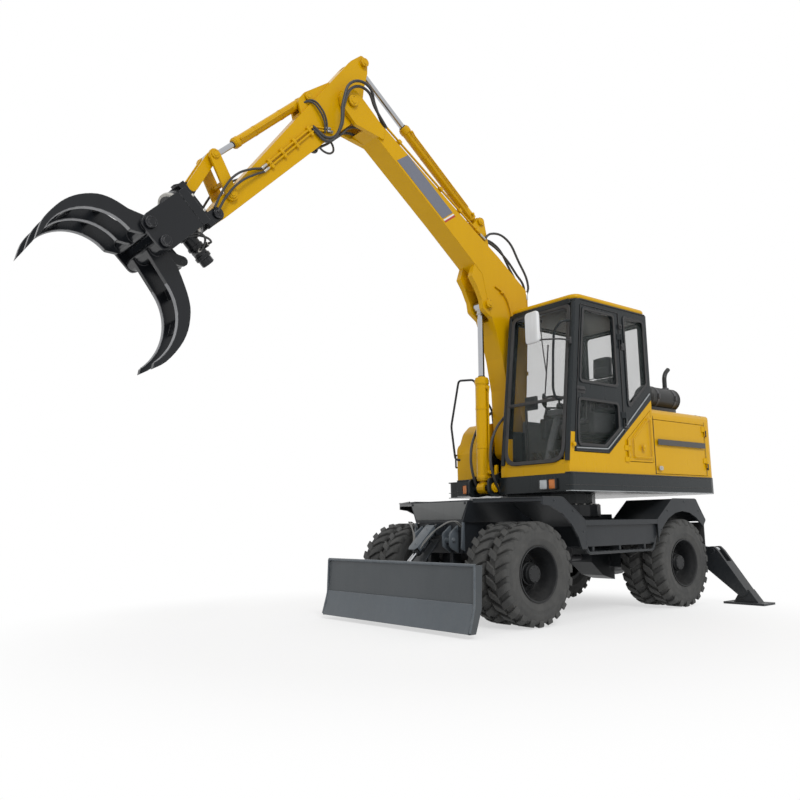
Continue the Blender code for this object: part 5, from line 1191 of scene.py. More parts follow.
@dataclass
class Outriggers:
    """Pins, cylinder fittings and hoses of the two rear legs."""

    x: Pair = (-1.93, -1.77)
    hinge: Pair = (0.50, 0.42)
    ear: Pair = (0.95, 0.55)

    def build(self) -> None:
        """Makes both legs' pieces."""
        for side, sign in (("left", 1), ("right", -1)):
            caps = Shape()
            for x, out in ((self.x[0] - 0.012, -1), (self.x[1] + 0.012, 1)):
                caps.join(pin_cap(at(x, sign * self.hinge[0], self.hinge[1]), Vector((out, 0, 0)), 0.030))
                caps.join(pin_cap(at(x * 0.5 - 0.925 + 0.012 * out, sign * self.ear[0], self.ear[1]),
                                  Vector((out, 0, 0)), 0.022))
            put(f"{side}_leg_pins", caps, SLATE, f"{side}_leg")
            base = Datum.joints[f"{side}_leg_barrel_swing"]
            pin = at(-1.85, sign * self.ear[0], self.ear[1])
            Cylinder(f"{side}_leg_cylinder", f"{side}_leg_barrel", f"{side}_leg_rod", base, pin, 0.038, 0.51, 0.020,
                     -AHEAD, finish=SLATE).build()
            hoses = Shape()
            for z, lead in ((0.86, 0.10), (0.90, 0.34)):
                hoses.join(tube([at(-1.70, sign * 0.16, z), at(-1.80, sign * (0.16 + lead * 0.4), z + 0.02),
                                 at(-1.90, sign * (0.18 + lead), z - 0.10), at(-1.905, sign * (0.20 + lead), 0.745)],
                                0.008))
            put_blended(f"{side}_leg_hoses", hoses, HOSE, ("chassis", f"{side}_leg_barrel"))


# --- Deck ------------------------------------------------------------------------------
@dataclass
class Deck:
    """Lamps, seams and lips of the turning deck."""

    half: float = 0.985
    rear: float = -1.945
    skirt: Pair = (1.168, 1.334)
    lamp_z: Pair = (1.195, 1.285)
    lamps: tuple[tuple[float, float, float, bool], ...] = (
        (0.617, 0.622, 0.716, False), (0.617, 0.735, 0.812, True), (0.560, -0.402, -0.330, False),
        (0.560, -0.490, -0.430, True))

    def lamp(self, x: float, low: float, high: float, amber: bool) -> None:
        """Makes one lamp with its housing and lens."""
        name = f"{'indicator' if amber else 'headlamp'}_{'left' if low > 0 else 'right'}"
        z = self.lamp_z
        shell = border(rectangle((low - 0.008, high + 0.008), (z[0] - 0.008, z[1] + 0.008), 0.016),
                       rectangle((low, high), (z[0], z[1]), 0.012), 0.030, 0.002)
        put(f"{name}_housing", shell.move(basis(at(x, 0, 0), LEFT, UP)), BLACK_PLASTIC, UPPER)
        lens = slab(rectangle((low, high), (z[0], z[1]), 0.012), 0.027, 0.006, 3)
        put(f"{name}_lens", lens.move(basis(at(x - 0.002, 0, 0), LEFT, UP)),
            AMBER_LENS if amber else CLEAR_LENS, UPPER)

    def build(self) -> None:
        """Makes the deck's lamps, lips, seams and bolts."""
        for row in self.lamps:
            self.lamp(*row)
        outline = [(0.617, 0.92), (0.617, self.half), (self.rear + 0.14, self.half),
                   (self.rear + 0.04, self.half - 0.04), (self.rear, self.half - 0.14), (self.rear, 0.0)]
        far = [(0.562, -0.28), (0.562, -0.602), (0.332, -0.602), (0.332, -self.half)]
        far += [(x, -y) for x, y in outline[2:]]
        for name, z, radius, finish in (("skirt_lower_lip", self.skirt[0] + 0.004, 0.0045, TRIM),
                                        ("skirt_seam", 1.226, 0.003, SEAL),
                                        ("skirt_upper_seal", 1.340, 0.006, SEAL)):
            line = tube([at(x, y, z) for x, y in outline], radius, True)
            put(name, line.join(tube([at(x, y, z) for x, y in far], radius, True)), finish, UPPER)
        rear = Shape()
        for y in (0.78, 0.86):
            rear.join(rod(at(self.rear - 0.002, y, 1.25), at(self.rear - 0.020, y, 1.25), 0.036, 0.033, 28, 0.005))
        put("rear_lamps", rear.both_sides(), RED_LENS, UPPER)
        plates = Shape()
        for y in (-0.239, 0.039):
            plates.join(bolts([at(x, y + (0.013 if y > 0 else -0.013), z) for x, z in (
                (0.10, 1.36), (0.30, 1.36), (0.50, 1.40), (0.40, 1.56))], across(y), 0.012))
        put("foot_plate_bolts", plates, ZINC, UPPER)
        pad = block((0.560, 0.592), (-0.010, 0.022), (1.27, 1.47), 0.006).join(
            block((0.590, 0.600), (-0.006, 0.018), (1.29, 1.45), 0.004))
        put("front_bracket", pad, YELLOW, UPPER)


# --- Cab -------------------------------------------------------------------------------
@dataclass
class Cab:
    """The cab's seals, trim, mirror, rails, roof and controls."""

    right: float = 0.11
    left: float = 0.97
    back: float = -0.765
    floor: float = 1.42
    eaves: float = 3.03
    roof_top: float = 3.095
    screen_foot: float = 0.617
    screen_lean: float = 0.13478
    wheel_y: float = 0.54
    mirror_z: float = 2.598
    upper_pane: tuple[Pair, ...] = ((-0.185, 2.22), (0.394, 2.22), (0.297, 2.94), (-0.185, 2.94))
    lower_pane: tuple[Pair, ...] = ((0.060, 1.61), (0.456, 1.61), (0.457, 1.75), (0.418, 2.04), (-0.185, 2.04),
                                    (-0.185, 1.79))
    side_pane: tuple[Pair, ...] = ((-0.360, 2.02), (-0.360, 2.95), (-0.695, 2.95), (-0.695, 2.29))
    right_pane: tuple[Pair, ...] = ((0.476, 1.80), (0.321, 2.95), (-0.695, 2.95), (-0.695, 1.80))
    rear_pane: tuple[Pair, ...] = ((0.19, 2.12), (0.89, 2.12), (0.89, 2.93), (0.19, 2.93))

    def screen(self, z: float) -> float:
        """Returns the windscreen's X at a height."""
        return self.screen_foot - self.screen_lean * (z - self.floor)

    def screen_frame(self) -> Matrix:
        """Returns the windscreen's frame, with u along Y, v up the glass and n outwards."""
        return basis(at(self.screen(self.floor), 0, self.floor), LEFT, Vector((-self.screen_lean, 0, 1)))

    @staticmethod
    def seal(points: Sequence[Pair], out: float, wide: float, thick: float, radius: float = 0.05) -> Shape:
        """A seal round an opening.

        Args:
            points: the opening's corners.
            out: how far the seal reaches outside them.
            wide: its width.
            thick: its thickness.
            radius: the opening's corner radius.

        Returns:
            The seal in the opening's own frame.
        """
        middle = sum((Vector(p[:2]) for p in points), Vector((0, 0))) / len(points)
        own = [p[2] if len(p) > 2 else radius for p in points]

        def grown(by: float) -> list[Vector]:
            """Returns the outline with every side moved out."""
            lines, made = [], []
            for i, point in enumerate(points):
                a, b = Vector(point[:2]), Vector(points[(i + 1) % len(points)][:2])
                normal = Vector((b.y - a.y, a.x - b.x)).normalized()
                if normal.dot(a - middle) < 0:
                    normal = -normal
                lines.append((a + normal * by, b - a))
            for i, (start, way) in enumerate(lines):
                other, along = lines[i - 1]
                cut = way.x * along.y - way.y * along.x
                made.append(start + way * ((other - start).x * along.y - (other - start).y * along.x) / cut)
            return rounded([(*p, max(0.012, size + by * 0.6)) for p, size in zip(made, own)], 0.0, 6)

        return border(grown(out), grown(out - wide), thick, thick * 0.3)

    def seals(self) -> None:
        """Makes the rubber and light seals of every window."""
        screen = [(0.182, 0.040, 0.14), (0.898, 0.040, 0.14), (0.898, 1.560, 0.06), (0.182, 1.560, 0.06)]
        made = self.seal(screen, 0.024, 0.040, 0.016, 0.075)
        put("windscreen_seal", made.move(Matrix.Translation((0.002, 0, 0)) @ self.screen_frame()), SEAL, UPPER)
        bar = slab(rectangle((0.178, 0.902), (-0.016, 0.016), 0.004), 0.014, 0.004)
        place = self.screen_frame() @ Matrix.Translation((0, (2.05 - self.floor) * 1.006, 0.004))
        put("windscreen_bar", bar.move(place), SEAL, UPPER)
        side = basis(at(0, 0.979, 0), AHEAD, UP)
        for name, points, body in (("door_upper", self.upper_pane, "cab_door"),
                                   ("door_lower", self.lower_pane, "cab_door"), ("side", self.side_pane, UPPER)):
            put(f"{name}_pane_seal", self.seal(points, 0.016, 0.026, 0.012, 0.04).move(side), SEAL, body)
            light = self.seal(points, 0.020, 0.006, 0.008, 0.042)
            put(f"{name}_pane_trim", light.move(Matrix.Translation((0, 0.002, 0)) @ side), SLATE, body)
        right = basis(at(0, self.right - 0.010, 0), AHEAD, -UP)
        flipped = [(x, -z) for x, z in self.right_pane]
        put("right_pane_seal", self.seal(flipped, 0.018, 0.030, 0.016, 0.05).move(right), SEAL, UPPER)
        rear = basis(at(self.back - 0.010, 0, 0), LEFT, UP)
        put("rear_pane_seal", self.seal(self.rear_pane, 0.018, 0.030, 0.016, 0.05).move(rear), SEAL, UPPER)

    def posts(self) -> None:
        """Makes the rounded front posts, the visor and the trim lines along the sides."""
        frame = self.screen_frame()
        posts = Shape()
        for y in (self.right + 0.025, self.left - 0.025):
            posts.join(tube([frame @ Vector((y, 0.03, -0.004)), frame @ Vector((y, 1.59, -0.004))], 0.026))
        put("front_posts", posts, DARK, UPPER)
        visor = slab(rounded([(0.14, 0.0), (0.94, 0.0), (0.90, 0.055), (0.18, 0.055)], 0.02), 0.022, 0.006, 3)
        put("screen_visor", visor.move(frame @ Matrix.Translation((0, 1.575, 0.0))), DARK, UPPER)
        y = self.left + 0.004
        trim = tube([at(0.500, y, 1.572), at(0.02, y, 1.580), at(-0.250, y, 1.788)], 0.006, True)
        put("door_trim", trim, TRIM, "cab_door")
        trim = tube([at(-0.282, y, 1.812), at(-0.738, y, 2.190)], 0.007, True)
        put("side_trim", trim, TRIM, UPPER)
        edge = tube([at(0.005, y, 1.546), at(-0.267, y, 1.755), at(-0.267, y, 2.982), at(0.330, y, 2.982),
                     at(0.518, y, 1.60), at(0.500, y, 1.546), at(0.005, y, 1.546)], 0.0045, True)
        put("door_edge_seal", edge, SEAL, "cab_door")

    def roof(self) -> None:
        """Makes the crowned roof with its rim, gutters and hatch."""
        front = self.screen(self.eaves)
        outline = rectangle((self.back - 0.012, front + 0.004), (self.right - 0.012, self.left + 0.008), 0.115, 8)
        shell = slab(outline, self.roof_top - self.eaves - 0.008, 0.034, 5).move(Matrix.Translation(
            (Datum.shift, 0, self.eaves)))
        crown = slab(rectangle((self.back + 0.06, front - 0.09), (self.right + 0.06, self.left - 0.065), 0.07, 6),
                     0.018, 0.012, 3).move(Matrix.Translation((Datum.shift, 0, self.roof_top - 0.012)))
        put("cab_roof_shell", shell.join(crown), YELLOW, UPPER, ["cab_roof"])
        gutter = tube([at(x, y, self.eaves + 0.002) for x, y in (
            (front - 0.07, self.right - 0.006), (front - 0.005, self.right + 0.06), (front - 0.005, self.left - 0.06),
            (front - 0.07, self.left + 0.004), (self.back + 0.03, self.left + 0.004))], 0.007, True)
        put("roof_gutter", gutter, SEAL, UPPER)
        hatch = slab(rectangle((-0.52, 0.02), (0.30, 0.78), 0.06, 5), 0.012, 0.005, 2)
        put("roof_hatch", hatch.move(Matrix.Translation((Datum.shift, 0, self.roof_top + 0.003))), DARK, UPPER)

    def mirror(self) -> None:
        """Makes the mirror, its arm and its clamp."""
        turn = basis(at(0.735, 0.720, 2.731), Vector((0.12, 1, 0)), UP)
        outer = [(-0.090, -0.155), (0.090, -0.155), (0.090, 0.155), (-0.090, 0.155)]
        shell = slab(rounded(outer, 0.045, 6), 0.040, 0.016, 4).move(turn)
        put("mirror_shell", shell, WHITE_PLASTIC, UPPER)
        glass = slab(rounded([(0.88 * u, 0.92 * v) for u, v in outer], 0.038, 6), 0.004, 0.001)
        put("mirror_glass", glass.move(turn @ Matrix.Translation((0, 0, -0.0035))), MIRROR_GLASS, UPPER)
        z = self.mirror_z
        arm = tube([at(0.745, 0.76, z), at(0.735, 0.83, z), at(0.62, 0.945, z), at(0.485, 0.955, z)], 0.008, True)
        arm.join(tube([at(0.745, 0.76, z), at(0.748, 0.72, 2.62), at(0.748, 0.72, 2.66)], 0.008, True))
        arm.join(rod(at(0.495, 0.955, 2.565), at(0.495, 0.955, 2.632), 0.014, None, 18, 0.003))
        put("mirror_arm", arm, BLACK_PLASTIC, UPPER)

    def fittings(self) -> None:
        """Makes the grab rail, latch, handle, hinges and wiper."""
        rail = tube([at(0.470, 0.945, 2.80), at(0.560, 0.905, 2.79), at(0.598, 0.850, 2.70), at(0.612, 0.84, 2.50),
                     at(0.640, 0.84, 2.13), at(0.620, 0.85, 2.04), at(0.560, 0.87, 2.03)], 0.012, True)
        put("grab_rail", rail, DARK, UPPER)
        latch = block((-0.305, -0.255), (0.966, 0.990), (2.815, 2.865), 0.006)
        latch.join(rod(at(-0.28, 0.985, 2.84), at(-0.28, 0.999, 2.84), 0.012, None, 18, 0.003))
        put("door_latch", latch, BLACK_PLASTIC, UPPER)
        handle = block((0.330, 0.450), (0.966, 0.976), (2.095, 2.165), 0.006)
        handle.join(tube([at(0.345, 0.972, 2.13), at(0.355, 0.994, 2.13), at(0.425, 0.994, 2.13),
                          at(0.435, 0.972, 2.13)], 0.008, True))
        put("door_handle", handle, BLACK_PLASTIC, "cab_door")
        knob = turned([(0.0, 0.0), (0.0, 0.011), (0.012, 0.010), (0.020, 0.020), (0.032, 0.021), (0.038, 0.014),
                       (0.040, 0.0)], at(0.555, 0.966, 1.60), at(0.555, 1.0, 1.60), 24)
        put("side_knob", knob, YELLOW, UPPER)
        hinges = Shape()
        for z in (1.83, 2.63):
            hinges.join(rod(at(-0.275, 0.990, z - 0.012), at(-0.275, 0.990, z + 0.022), 0.0115, None, 18, 0.003))
            hinges.join(block((-0.345, -0.285), (0.970, 0.979), (z - 0.030, z + 0.050), 0.004))
        put("door_hinges", hinges, BLACK_PLASTIC, UPPER)
        frame = self.screen_frame()
        wiper = tube([frame @ Vector((0.55, 1.47, 0.02)), frame @ Vector((0.60, 1.20, 0.022)),
                      frame @ Vector((0.66, 0.92, 0.018))], 0.006)
        wiper.join(tube([frame @ Vector((0.665, 1.20, 0.014)), frame @ Vector((0.655, 0.70, 0.014))], 0.007))
        wiper.join(rod(frame @ Vector((0.55, 1.475, 0.0)), frame @ Vector((0.55, 1.475, 0.032)), 0.018, 0.013, 20,
                       0.004))
        put("screen_wiper", wiper, BLACK_PLASTIC, UPPER)

    def controls(self) -> None:
        """Makes the steering column, display, pedals and joysticks."""
        middle = self.wheel_y
        column = tube([at(0.42, middle, 1.43), at(0.36, middle, 1.62), at(0.20, middle, 1.98)], 0.035, True)
        column.join(block((0.14, 0.30), (0.46, 0.62), (1.93, 2.00), 0.025, 3))
        put("steering_column", column, GREY_PLASTIC, UPPER)
        hub, way = at(0.170, middle, 2.045), Vector((-0.42, 0, 0.91))
        ring = turned([(0.012 * math.cos(a), 0.185 + 0.012 * math.sin(a)) for a in
                       [math.tau * i / 10 for i in range(10)]], hub, hub + way, 44, whole=True)
        frame = pointing(hub, hub + way)
        for i in range(3):
            turn = frame @ Matrix.Rotation(math.tau * i / 3, 4, "Z")
            ring.join(tube([turn @ Vector((0.03, 0, -0.02)), turn @ Vector((0.18, 0, 0.0))], 0.010))
        ring.join(turned([(-0.04, 0.0), (-0.04, 0.03), (-0.01, 0.045), (0.01, 0.042), (0.018, 0.0)], hub, hub + way,
                         24))
        put("steering_wheel", ring, BLACK_PLASTIC, UPPER)
        display = block((0.30, 0.33), (0.20, 0.36), (2.02, 2.16), 0.010, 3)
        display.join(tube([at(0.33, 0.22, 1.46), at(0.33, 0.22, 2.04)], 0.014))
        put("display", display, BLACK_PLASTIC, UPPER)
        pedals = Shape()
        for y in (0.40, 0.47, 0.61, 0.68):
            pedal = slab(rectangle((-0.028, 0.028), (-0.07, 0.07), 0.01), 0.014, 0.004)
            pedals.join(pedal.move(basis(at(0.40, y, 1.52), LEFT, Vector((0.6, 0, 0.8)))))
            pedals.join(tube([at(0.405, y, 1.51), at(0.44, y, 1.44)], 0.008))
        put("pedals", pedals, BLACK_PLASTIC, UPPER)
        sticks = Shape()
        for y in (0.23, 0.85):
            sticks.join(tube([at(0.02, y, 2.00), at(0.03, y, 2.07), at(0.04, y, 2.12)], 0.010))
            sticks.join(turned([(0.0, 0.0), (0.0, 0.017), (0.05, 0.024), (0.10, 0.021), (0.125, 0.012), (0.13, 0.0)],
                               at(0.04, y, 2.10), at(0.055, y, 2.20), 20))
            sticks.join(turned([(0.0, 0.036), (0.0, 0.030), (0.03, 0.028), (0.05, 0.018), (0.07, 0.014), (0.07, 0.010),
                                (0.0, 0.010)], at(0.02, y, 1.985), at(0.03, y, 2.10), 20, whole=True))
        put("joysticks", sticks, BLACK_PLASTIC, UPPER)
        lining = block((-0.70, 0.40), (0.20, 0.90), (2.945, 2.965), 0.008)
        lining.join(block((-0.735, -0.60), (0.16, 0.92), (1.50, 2.02), 0.03, 3))
        lining.join(block((-0.55, 0.30), (0.125, 0.185), (1.45, 1.92), 0.02, 3))
        put("cab_lining", lining, GREY_PLASTIC, UPPER)

    def build(self) -> None:
        """Makes all of the cab's pieces."""
        self.seals()
        self.posts()
        self.roof()
        self.mirror()
        self.fittings()
        self.controls()


@dataclass
class Seat:
    """The operator's sprung seat with its cloth cushions."""

    middle: float = 0.54
    pressure: float = 4.0
    cap: float = 0.016
    voxel: float = 0.0065
    frames: int = 20
    groove: Pair = (0.010, 0.009)
    deepest: float = 0.014
    lean: float = -0.07

    def inflate(self, piece: bpy.types.Object) -> None:
        """Fills a pad by cloth pressure, with no point moved further than the cap.

        Args:
            piece: the pad's object, with its mesh in place.
        """
        remesh = piece.modifiers.new("remesh", "REMESH")
        remesh.mode = "VOXEL"
        remesh.voxel_size = self.voxel
        self.apply(piece)
        start = [v.co.copy() for v in piece.data.vertices]
        cloth = piece.modifiers.new("fill", "CLOTH")
        cloth.settings.quality = 5
        cloth.settings.use_pressure = True
        cloth.settings.uniform_pressure_force = self.pressure
        cloth.settings.effector_weights.gravity = 0.0
        cloth.settings.tension_stiffness = cloth.settings.compression_stiffness = 15
        scene = bpy.context.scene
        for frame in range(1, self.frames + 1):
            scene.frame_set(frame)
        self.apply(piece)
        scene.frame_set(1)
        for vert, rest in zip(piece.data.vertices, start):
            step = vert.co - rest
            if step.length > self.cap:
                vert.co = rest + step.normalized() * self.cap

    @staticmethod
    def apply(piece: bpy.types.Object) -> None:
        """Replaces a piece's mesh by what its modifiers make."""
        graph = bpy.context.evaluated_depsgraph_get()
        mesh = bpy.data.meshes.new_from_object(piece.evaluated_get(graph))
        piece.modifiers.clear()
        old = piece.data
        piece.data = mesh
        bpy.data.meshes.remove(old)

    def pad(self, name: str, frame: Matrix, size: Triple, lines: Sequence[tuple[Axis, float]], fill: float,
            replaces: Sequence[str] = ()) -> None:
        """Makes one crowned pad with sewn channels.

        Args:
            name: the pad's name.
            frame: its middle, with its crowned face towards +n.
            size: its length along each of the frame's axes.
            lines: sewn channels, each square to an axis of the frame and at a distance from its middle.
            fill: how full it is, from 0 to 1; not used.
            replaces: CAD nodes that it stands for.
        """
        shape = Shape()
        bmesh.ops.create_cube(shape.bm, size=1.0)
        bmesh.ops.scale(shape.bm, vec=size, verts=shape.bm.verts)
        bmesh.ops.subdivide_edges(shape.bm, edges=shape.bm.edges[:], cuts=7, use_grid_fill=True)
        for vert in shape.bm.verts:
            u, v = 2 * vert.co.x / size[0], 2 * vert.co.y / size[1]
            pull = 1 - 0.035 * (1 - u * u) if abs(v) > 0.99 else 1.0
            vert.co.y *= pull
            vert.co.x *= 1 - 0.035 * (1 - v * v) if abs(u) > 0.99 else 1.0
            if vert.co.z > 0:
                vert.co.z += 0.12 * size[2] * (1 - u * u) * (1 - v * v)
        shape.round(min(size) * 0.22, 3, 50)
        piece = put(name, shape.move(frame), SEAT_CLOTH, UPPER, replaces)
        self.inflate(piece)
        back = frame.inverted()
        deep, wide = self.groove
        for vert in piece.data.vertices:
            place = back @ vert.co
            dip = 0.0
            for axis, distance in lines:
                off = place[axis.value] - distance
                dip += deep * math.exp(-(off / wide) ** 2)
            if place.z > 0 and dip:
                place.z -= min(dip, self.deepest)
                vert.co = frame @ place
        smooth = Shape()
        smooth.bm.from_mesh(piece.data)
        bmesh.ops.smooth_vert(smooth.bm, verts=smooth.bm.verts, factor=0.5, use_axis_x=True, use_axis_y=True,
                              use_axis_z=True)
        smooth.bm.to_mesh(piece.data)
        smooth.bm.free()
        piece.data.shade_smooth()
        piece.modifiers.new("smooth", "SUBSURF").levels = 1
        piece.modifiers["smooth"].render_levels = 1
        self.apply(piece)
        piece.data.shade_smooth()
        half = Vector(size) / 2
        corners = rectangle((-half.x, half.x), (-half.y, half.y), 0.05, 5)
        loop = [frame @ Vector((p.x * 1.005, p.y * 1.005, half.z * 0.55)) for p in corners]
        put(f"{name}_piping", tube(loop + loop[:2], 0.004, True, 2), SEAT_VINYL, UPPER)

    def build(self) -> None:
        """Makes cushions, shell, armrests and suspension."""
        y = self.middle
        flat = basis(at(-0.285, y, 1.835), AHEAD, LEFT)
        self.pad("seat_cushion", flat, (0.50, 0.45, 0.105), ((Axis.Y, -0.12), (Axis.Y, 0.12), (Axis.X, 0.10),
                                                            (Axis.X, -0.05)), 0.8, ["seat"])
        lean = basis(at(-0.525, y, 2.135), LEFT, Vector((self.lean, 0, 1)))
        self.pad("seat_back", lean, (0.43, 0.54, 0.105), ((Axis.X, -0.12), (Axis.X, 0.12), (Axis.Y, 0.12),
                                                         (Axis.Y, -0.02), (Axis.Y, -0.15)), 0.8)
        head = basis(at(-0.565, y, 2.515), LEFT, Vector((self.lean, 0, 1)))
        self.pad("seat_headrest", head, (0.21, 0.215, 0.085), ((Axis.Y, 0.0),), 0.85)
        shell = slab(rounded([(-0.23, -0.30), (0.23, -0.30), (0.20, 0.28), (-0.20, 0.28)], 0.07, 5), 0.022, 0.008, 3)
        shell.move(lean @ Matrix.Translation((0, 0, -0.078)))
        for side in (-0.05, 0.05):
            shell.join(tube([at(-0.60, y + side, 2.36), at(-0.605, y + side, 2.47)], 0.006))
        for side in (-0.31, 0.31):
            shell.join(block((-0.48, 0.05), (y + side - 0.035, y + side + 0.035), (1.955, 2.005), 0.020, 3))
            shell.join(tube([at(-0.50, y + side * 0.72, 1.86), at(-0.48, y + side, 1.93), at(-0.42, y + side, 1.965)],
                            0.014, True))
            shell.join(block((-0.20, 0.10), (y + side - 0.04, y + side + 0.04), (1.74, 1.955), 0.020, 3))
        shell.join(block((-0.53, -0.05), (y - 0.21, y + 0.21), (1.755, 1.785), 0.010, 3))
        put("seat_shell", shell, BLACK_PLASTIC, UPPER)
        bellows = Shape()
        for i in range(6):
            z = 1.485 + i * 0.045
            bellows.join(block((-0.455, -0.125), (y - 0.145, y + 0.145), (z, z + 0.04), 0.017, 3))
        bellows.join(block((-0.48, -0.10), (y - 0.16, y + 0.16), (1.425, 1.490), 0.010))
        put("seat_bellows", bellows, SEAL, UPPER)


# --- Hood, tank and tool box -----------------------------------------------------------
@dataclass
class Body:
    """Doors' details, stripe, muffler, handrail and covers of the bodywork."""

    stripe: tuple[Pair, Pair] = ((-1.728, -0.812), (1.662, 1.722))
    border_points: tuple[Pair, ...] = ((-0.700, 1.950), (-0.390, 1.700), (-0.390, 1.520), (-0.700, 1.520))
    muffler_y: float = 0.64
    muffler_z: float = 2.24
    pipe_x: float = -1.57

    def doors(self) -> None:
        """Makes stripe, embossed border, locks and hinges of the two doors."""
        (x0, x1), z = self.stripe
        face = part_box("hood_door")[1][1]
        stripe = plate(Axis.Y, face - 0.001, face + 0.0015, rectangle((x0, x1), (z[0], z[1]), 0.004),
                       0.0005, 1)
        put("hood_stripe", stripe, STRIPE, "hood_door")
        lock = slab(rectangle((-0.035, 0.035), (-0.022, 0.022), 0.021, 6), 0.006, 0.002)
        lock.join(rod(Vector((0, 0, 0.004)), Vector((0, 0, 0.010)), 0.009, None, 16, 0.002))
        put("hood_lock", lock.copy().move(basis(at(-0.835, face, 1.42), -AHEAD, UP)), ZINC, "hood_door")
        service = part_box("service_door")[1][1]
        upright = basis(at(-0.556, service, 1.617), UP, AHEAD)
        put("service_lock", lock.move(upright), YELLOW, "service_door")
        raised = Cab.seal(self.border_points, 0.006, 0.014, 0.006, 0.025).move(
            basis(at(0, service + 0.004, 0), AHEAD, UP))
        put("service_door_border", raised, YELLOW, "service_door")
        hinges = Shape()
        for z in (1.46, 1.83):
            hinges.join(rod(at(-1.752, face - 0.002, z - 0.035), at(-1.752, face - 0.002, z + 0.035), 0.009, None, 16,
                            0.002))
        put("hood_hinges", hinges, SLATE, UPPER)

    def seams(self) -> None:
        """Makes the seam strips and the top's raised panels."""
        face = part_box("hood")[1][1]
        seams = Shape()
        for x in (-0.775, -1.760):
            seams.join(tube([at(x, face + 0.0005, 1.36), at(x, face + 0.0005, 1.955), at(x, face - 0.035, 2.030),
                             at(x, face - 0.09, 2.052), at(x, -0.85, 2.052)], 0.0028, True, 2))
        put("hood_seams", seams, SEAL, UPPER)
        top = slab(rectangle((-1.60, -1.16), (-0.70, 0.34), 0.05, 5), 0.020, 0.010, 3)
        top.move(Matrix.Translation((Datum.shift, 0, 2.049)))
        for i in range(12):
            y = -0.64 + i * 0.075
            top.join(block((-1.55, -1.21), (y, y + 0.035), (2.062, 2.075), 0.006))
        put("hood_vents", top, YELLOW, UPPER)
        grille = Shape()
        for i in range(11):
            z = 1.46 + i * 0.045
            grille.join(block((-1.60, -0.95), (-0.978, -0.968), (z, z + 0.024), 0.004))
        put("cooler_grille", grille, BLACK_PLASTIC, UPPER)
        low = block((-1.936, -1.926), (-0.62, 0.62), (1.44, 1.86), 0.004)
        for y in (-0.55, 0.55):
            for z in (1.50, 1.80):
                low.join(bolt(at(-1.934, y, z), -AHEAD, 0.018))
        put("counterweight_cover", low, DARK, UPPER)

    def muffler(self) -> None:
        """Makes the muffler's drum, straps, support and pipe."""
        y, z = self.muffler_y, self.muffler_z
        start = at(-1.70, y, z)
        drum = turned([(0.0, 0.0), (0.0, 0.060), (0.012, 0.100), (0.030, 0.122), (0.040, 0.1295), (0.052, 0.1295),
                       (0.054, 0.125), (0.546, 0.125), (0.548, 0.1295), (0.560, 0.1295), (0.570, 0.122), (0.588, 0.100),
                       (0.600, 0.060), (0.600, 0.0)], start, start + AHEAD, 48)
        drum.join(block((-1.64, -1.16), (y - 0.08, y + 0.08), (2.035, 2.13), 0.008))
        put("muffler_drum", drum, MUFFLER, UPPER, ["muffler"])
        straps = Shape()
        for x in (self.pipe_x, -1.24):
            place = at(x, y, z)
            straps.join(turned([(-0.018, 0.124), (-0.018, 0.129), (0.018, 0.129), (0.018, 0.124)], place,
                               place + AHEAD, 48, whole=True))
            straps.join(block((x - 0.012, x + 0.012), (y + 0.118, y + 0.140), (z - 0.03, z + 0.03), 0.004))
        pipe_x = self.pipe_x
        pipe = [at(pipe_x, y, z + 0.10), at(pipe_x, y, 2.50), at(-1.60, y, 2.56), at(-1.66, y, 2.605)]
        straps.join(turned([(-0.01, 0.025), (-0.01, 0.042), (0.015, 0.042), (0.02, 0.027)], at(pipe_x, y, z + 0.122),
                           at(pipe_x, y, z + 0.2), 28, whole=True))
        put("muffler_straps", straps, IRON, UPPER)
        put("exhaust_pipe", tube(pipe, 0.025, True, 5), MUFFLER, UPPER)

    def right_side(self) -> None:
        """Makes handrail, filler, steps and lids on the tank and tool box."""
        rail = tube([at(0.53, -0.53, 1.56), at(0.585, -0.59, 1.566), at(0.60, -0.625, 1.93), at(0.58, -0.51, 2.42),
                     at(0.56, -0.30, 2.40), at(0.30, -0.30, 2.10), at(0.28, -0.30, 1.93)], 0.012, True)
        put("handrail", rail, BLACK, UPPER)
        cap = turned([(0.0, 0.0), (0.0, 0.055), (0.012, 0.055), (0.014, 0.042), (0.040, 0.044), (0.048, 0.038),
                      (0.048, 0.0)], at(-0.35, -0.70, 1.778), at(-0.35, -0.70, 1.9), 28)
        put("filler_cap", cap, BLACK_PLASTIC, UPPER)
        plates = slab(rectangle((-0.66, 0.10), (-0.90, -0.36), 0.04, 5), 0.008, 0.003)
        plates.move(Matrix.Translation((Datum.shift, 0, 1.777)))
        for i in range(9):
            for k in range(5):
                x, y = -0.61 + i * 0.08 + (k % 2) * 0.03, -0.85 + k * 0.11
                if Vector((x + 0.35, y + 0.70)).length > 0.09:
                    plates.join(block((x - 0.016, x + 0.016), (y - 0.005, y + 0.005), (1.782, 1.790), 0.0025, 1))
        put("tank_top_plate", plates, DARK, UPPER)
        lid = tube([at(x, -0.597, z) for x, z in ((0.215, 1.66), (0.52, 1.62), (0.44, 1.83), (0.35, 1.92),
                                                  (0.215, 1.94), (0.215, 1.66))], 0.004, True, 2)
        put("tool_box_seam", lid, SEAL, UPPER)
        step = tube([at(0.20, -0.975, 1.52), at(0.20, -0.995, 1.52), at(0.20, -0.995, 1.66), at(0.20, -0.975, 1.66)],
                    0.010, True)
        step.join(tube([at(-0.20, -0.965, 1.84), at(-0.20, -0.975, 1.90), at(-0.60, -0.975, 1.90),
                        at(-0.60, -0.965, 1.84)], 0.012, True))
        put("tank_grips", step, BLACK, UPPER)

    def build(self) -> None:
        """Makes all of the bodywork's pieces."""
        self.doors()
        self.seams()
        self.muffler()
        self.right_side()


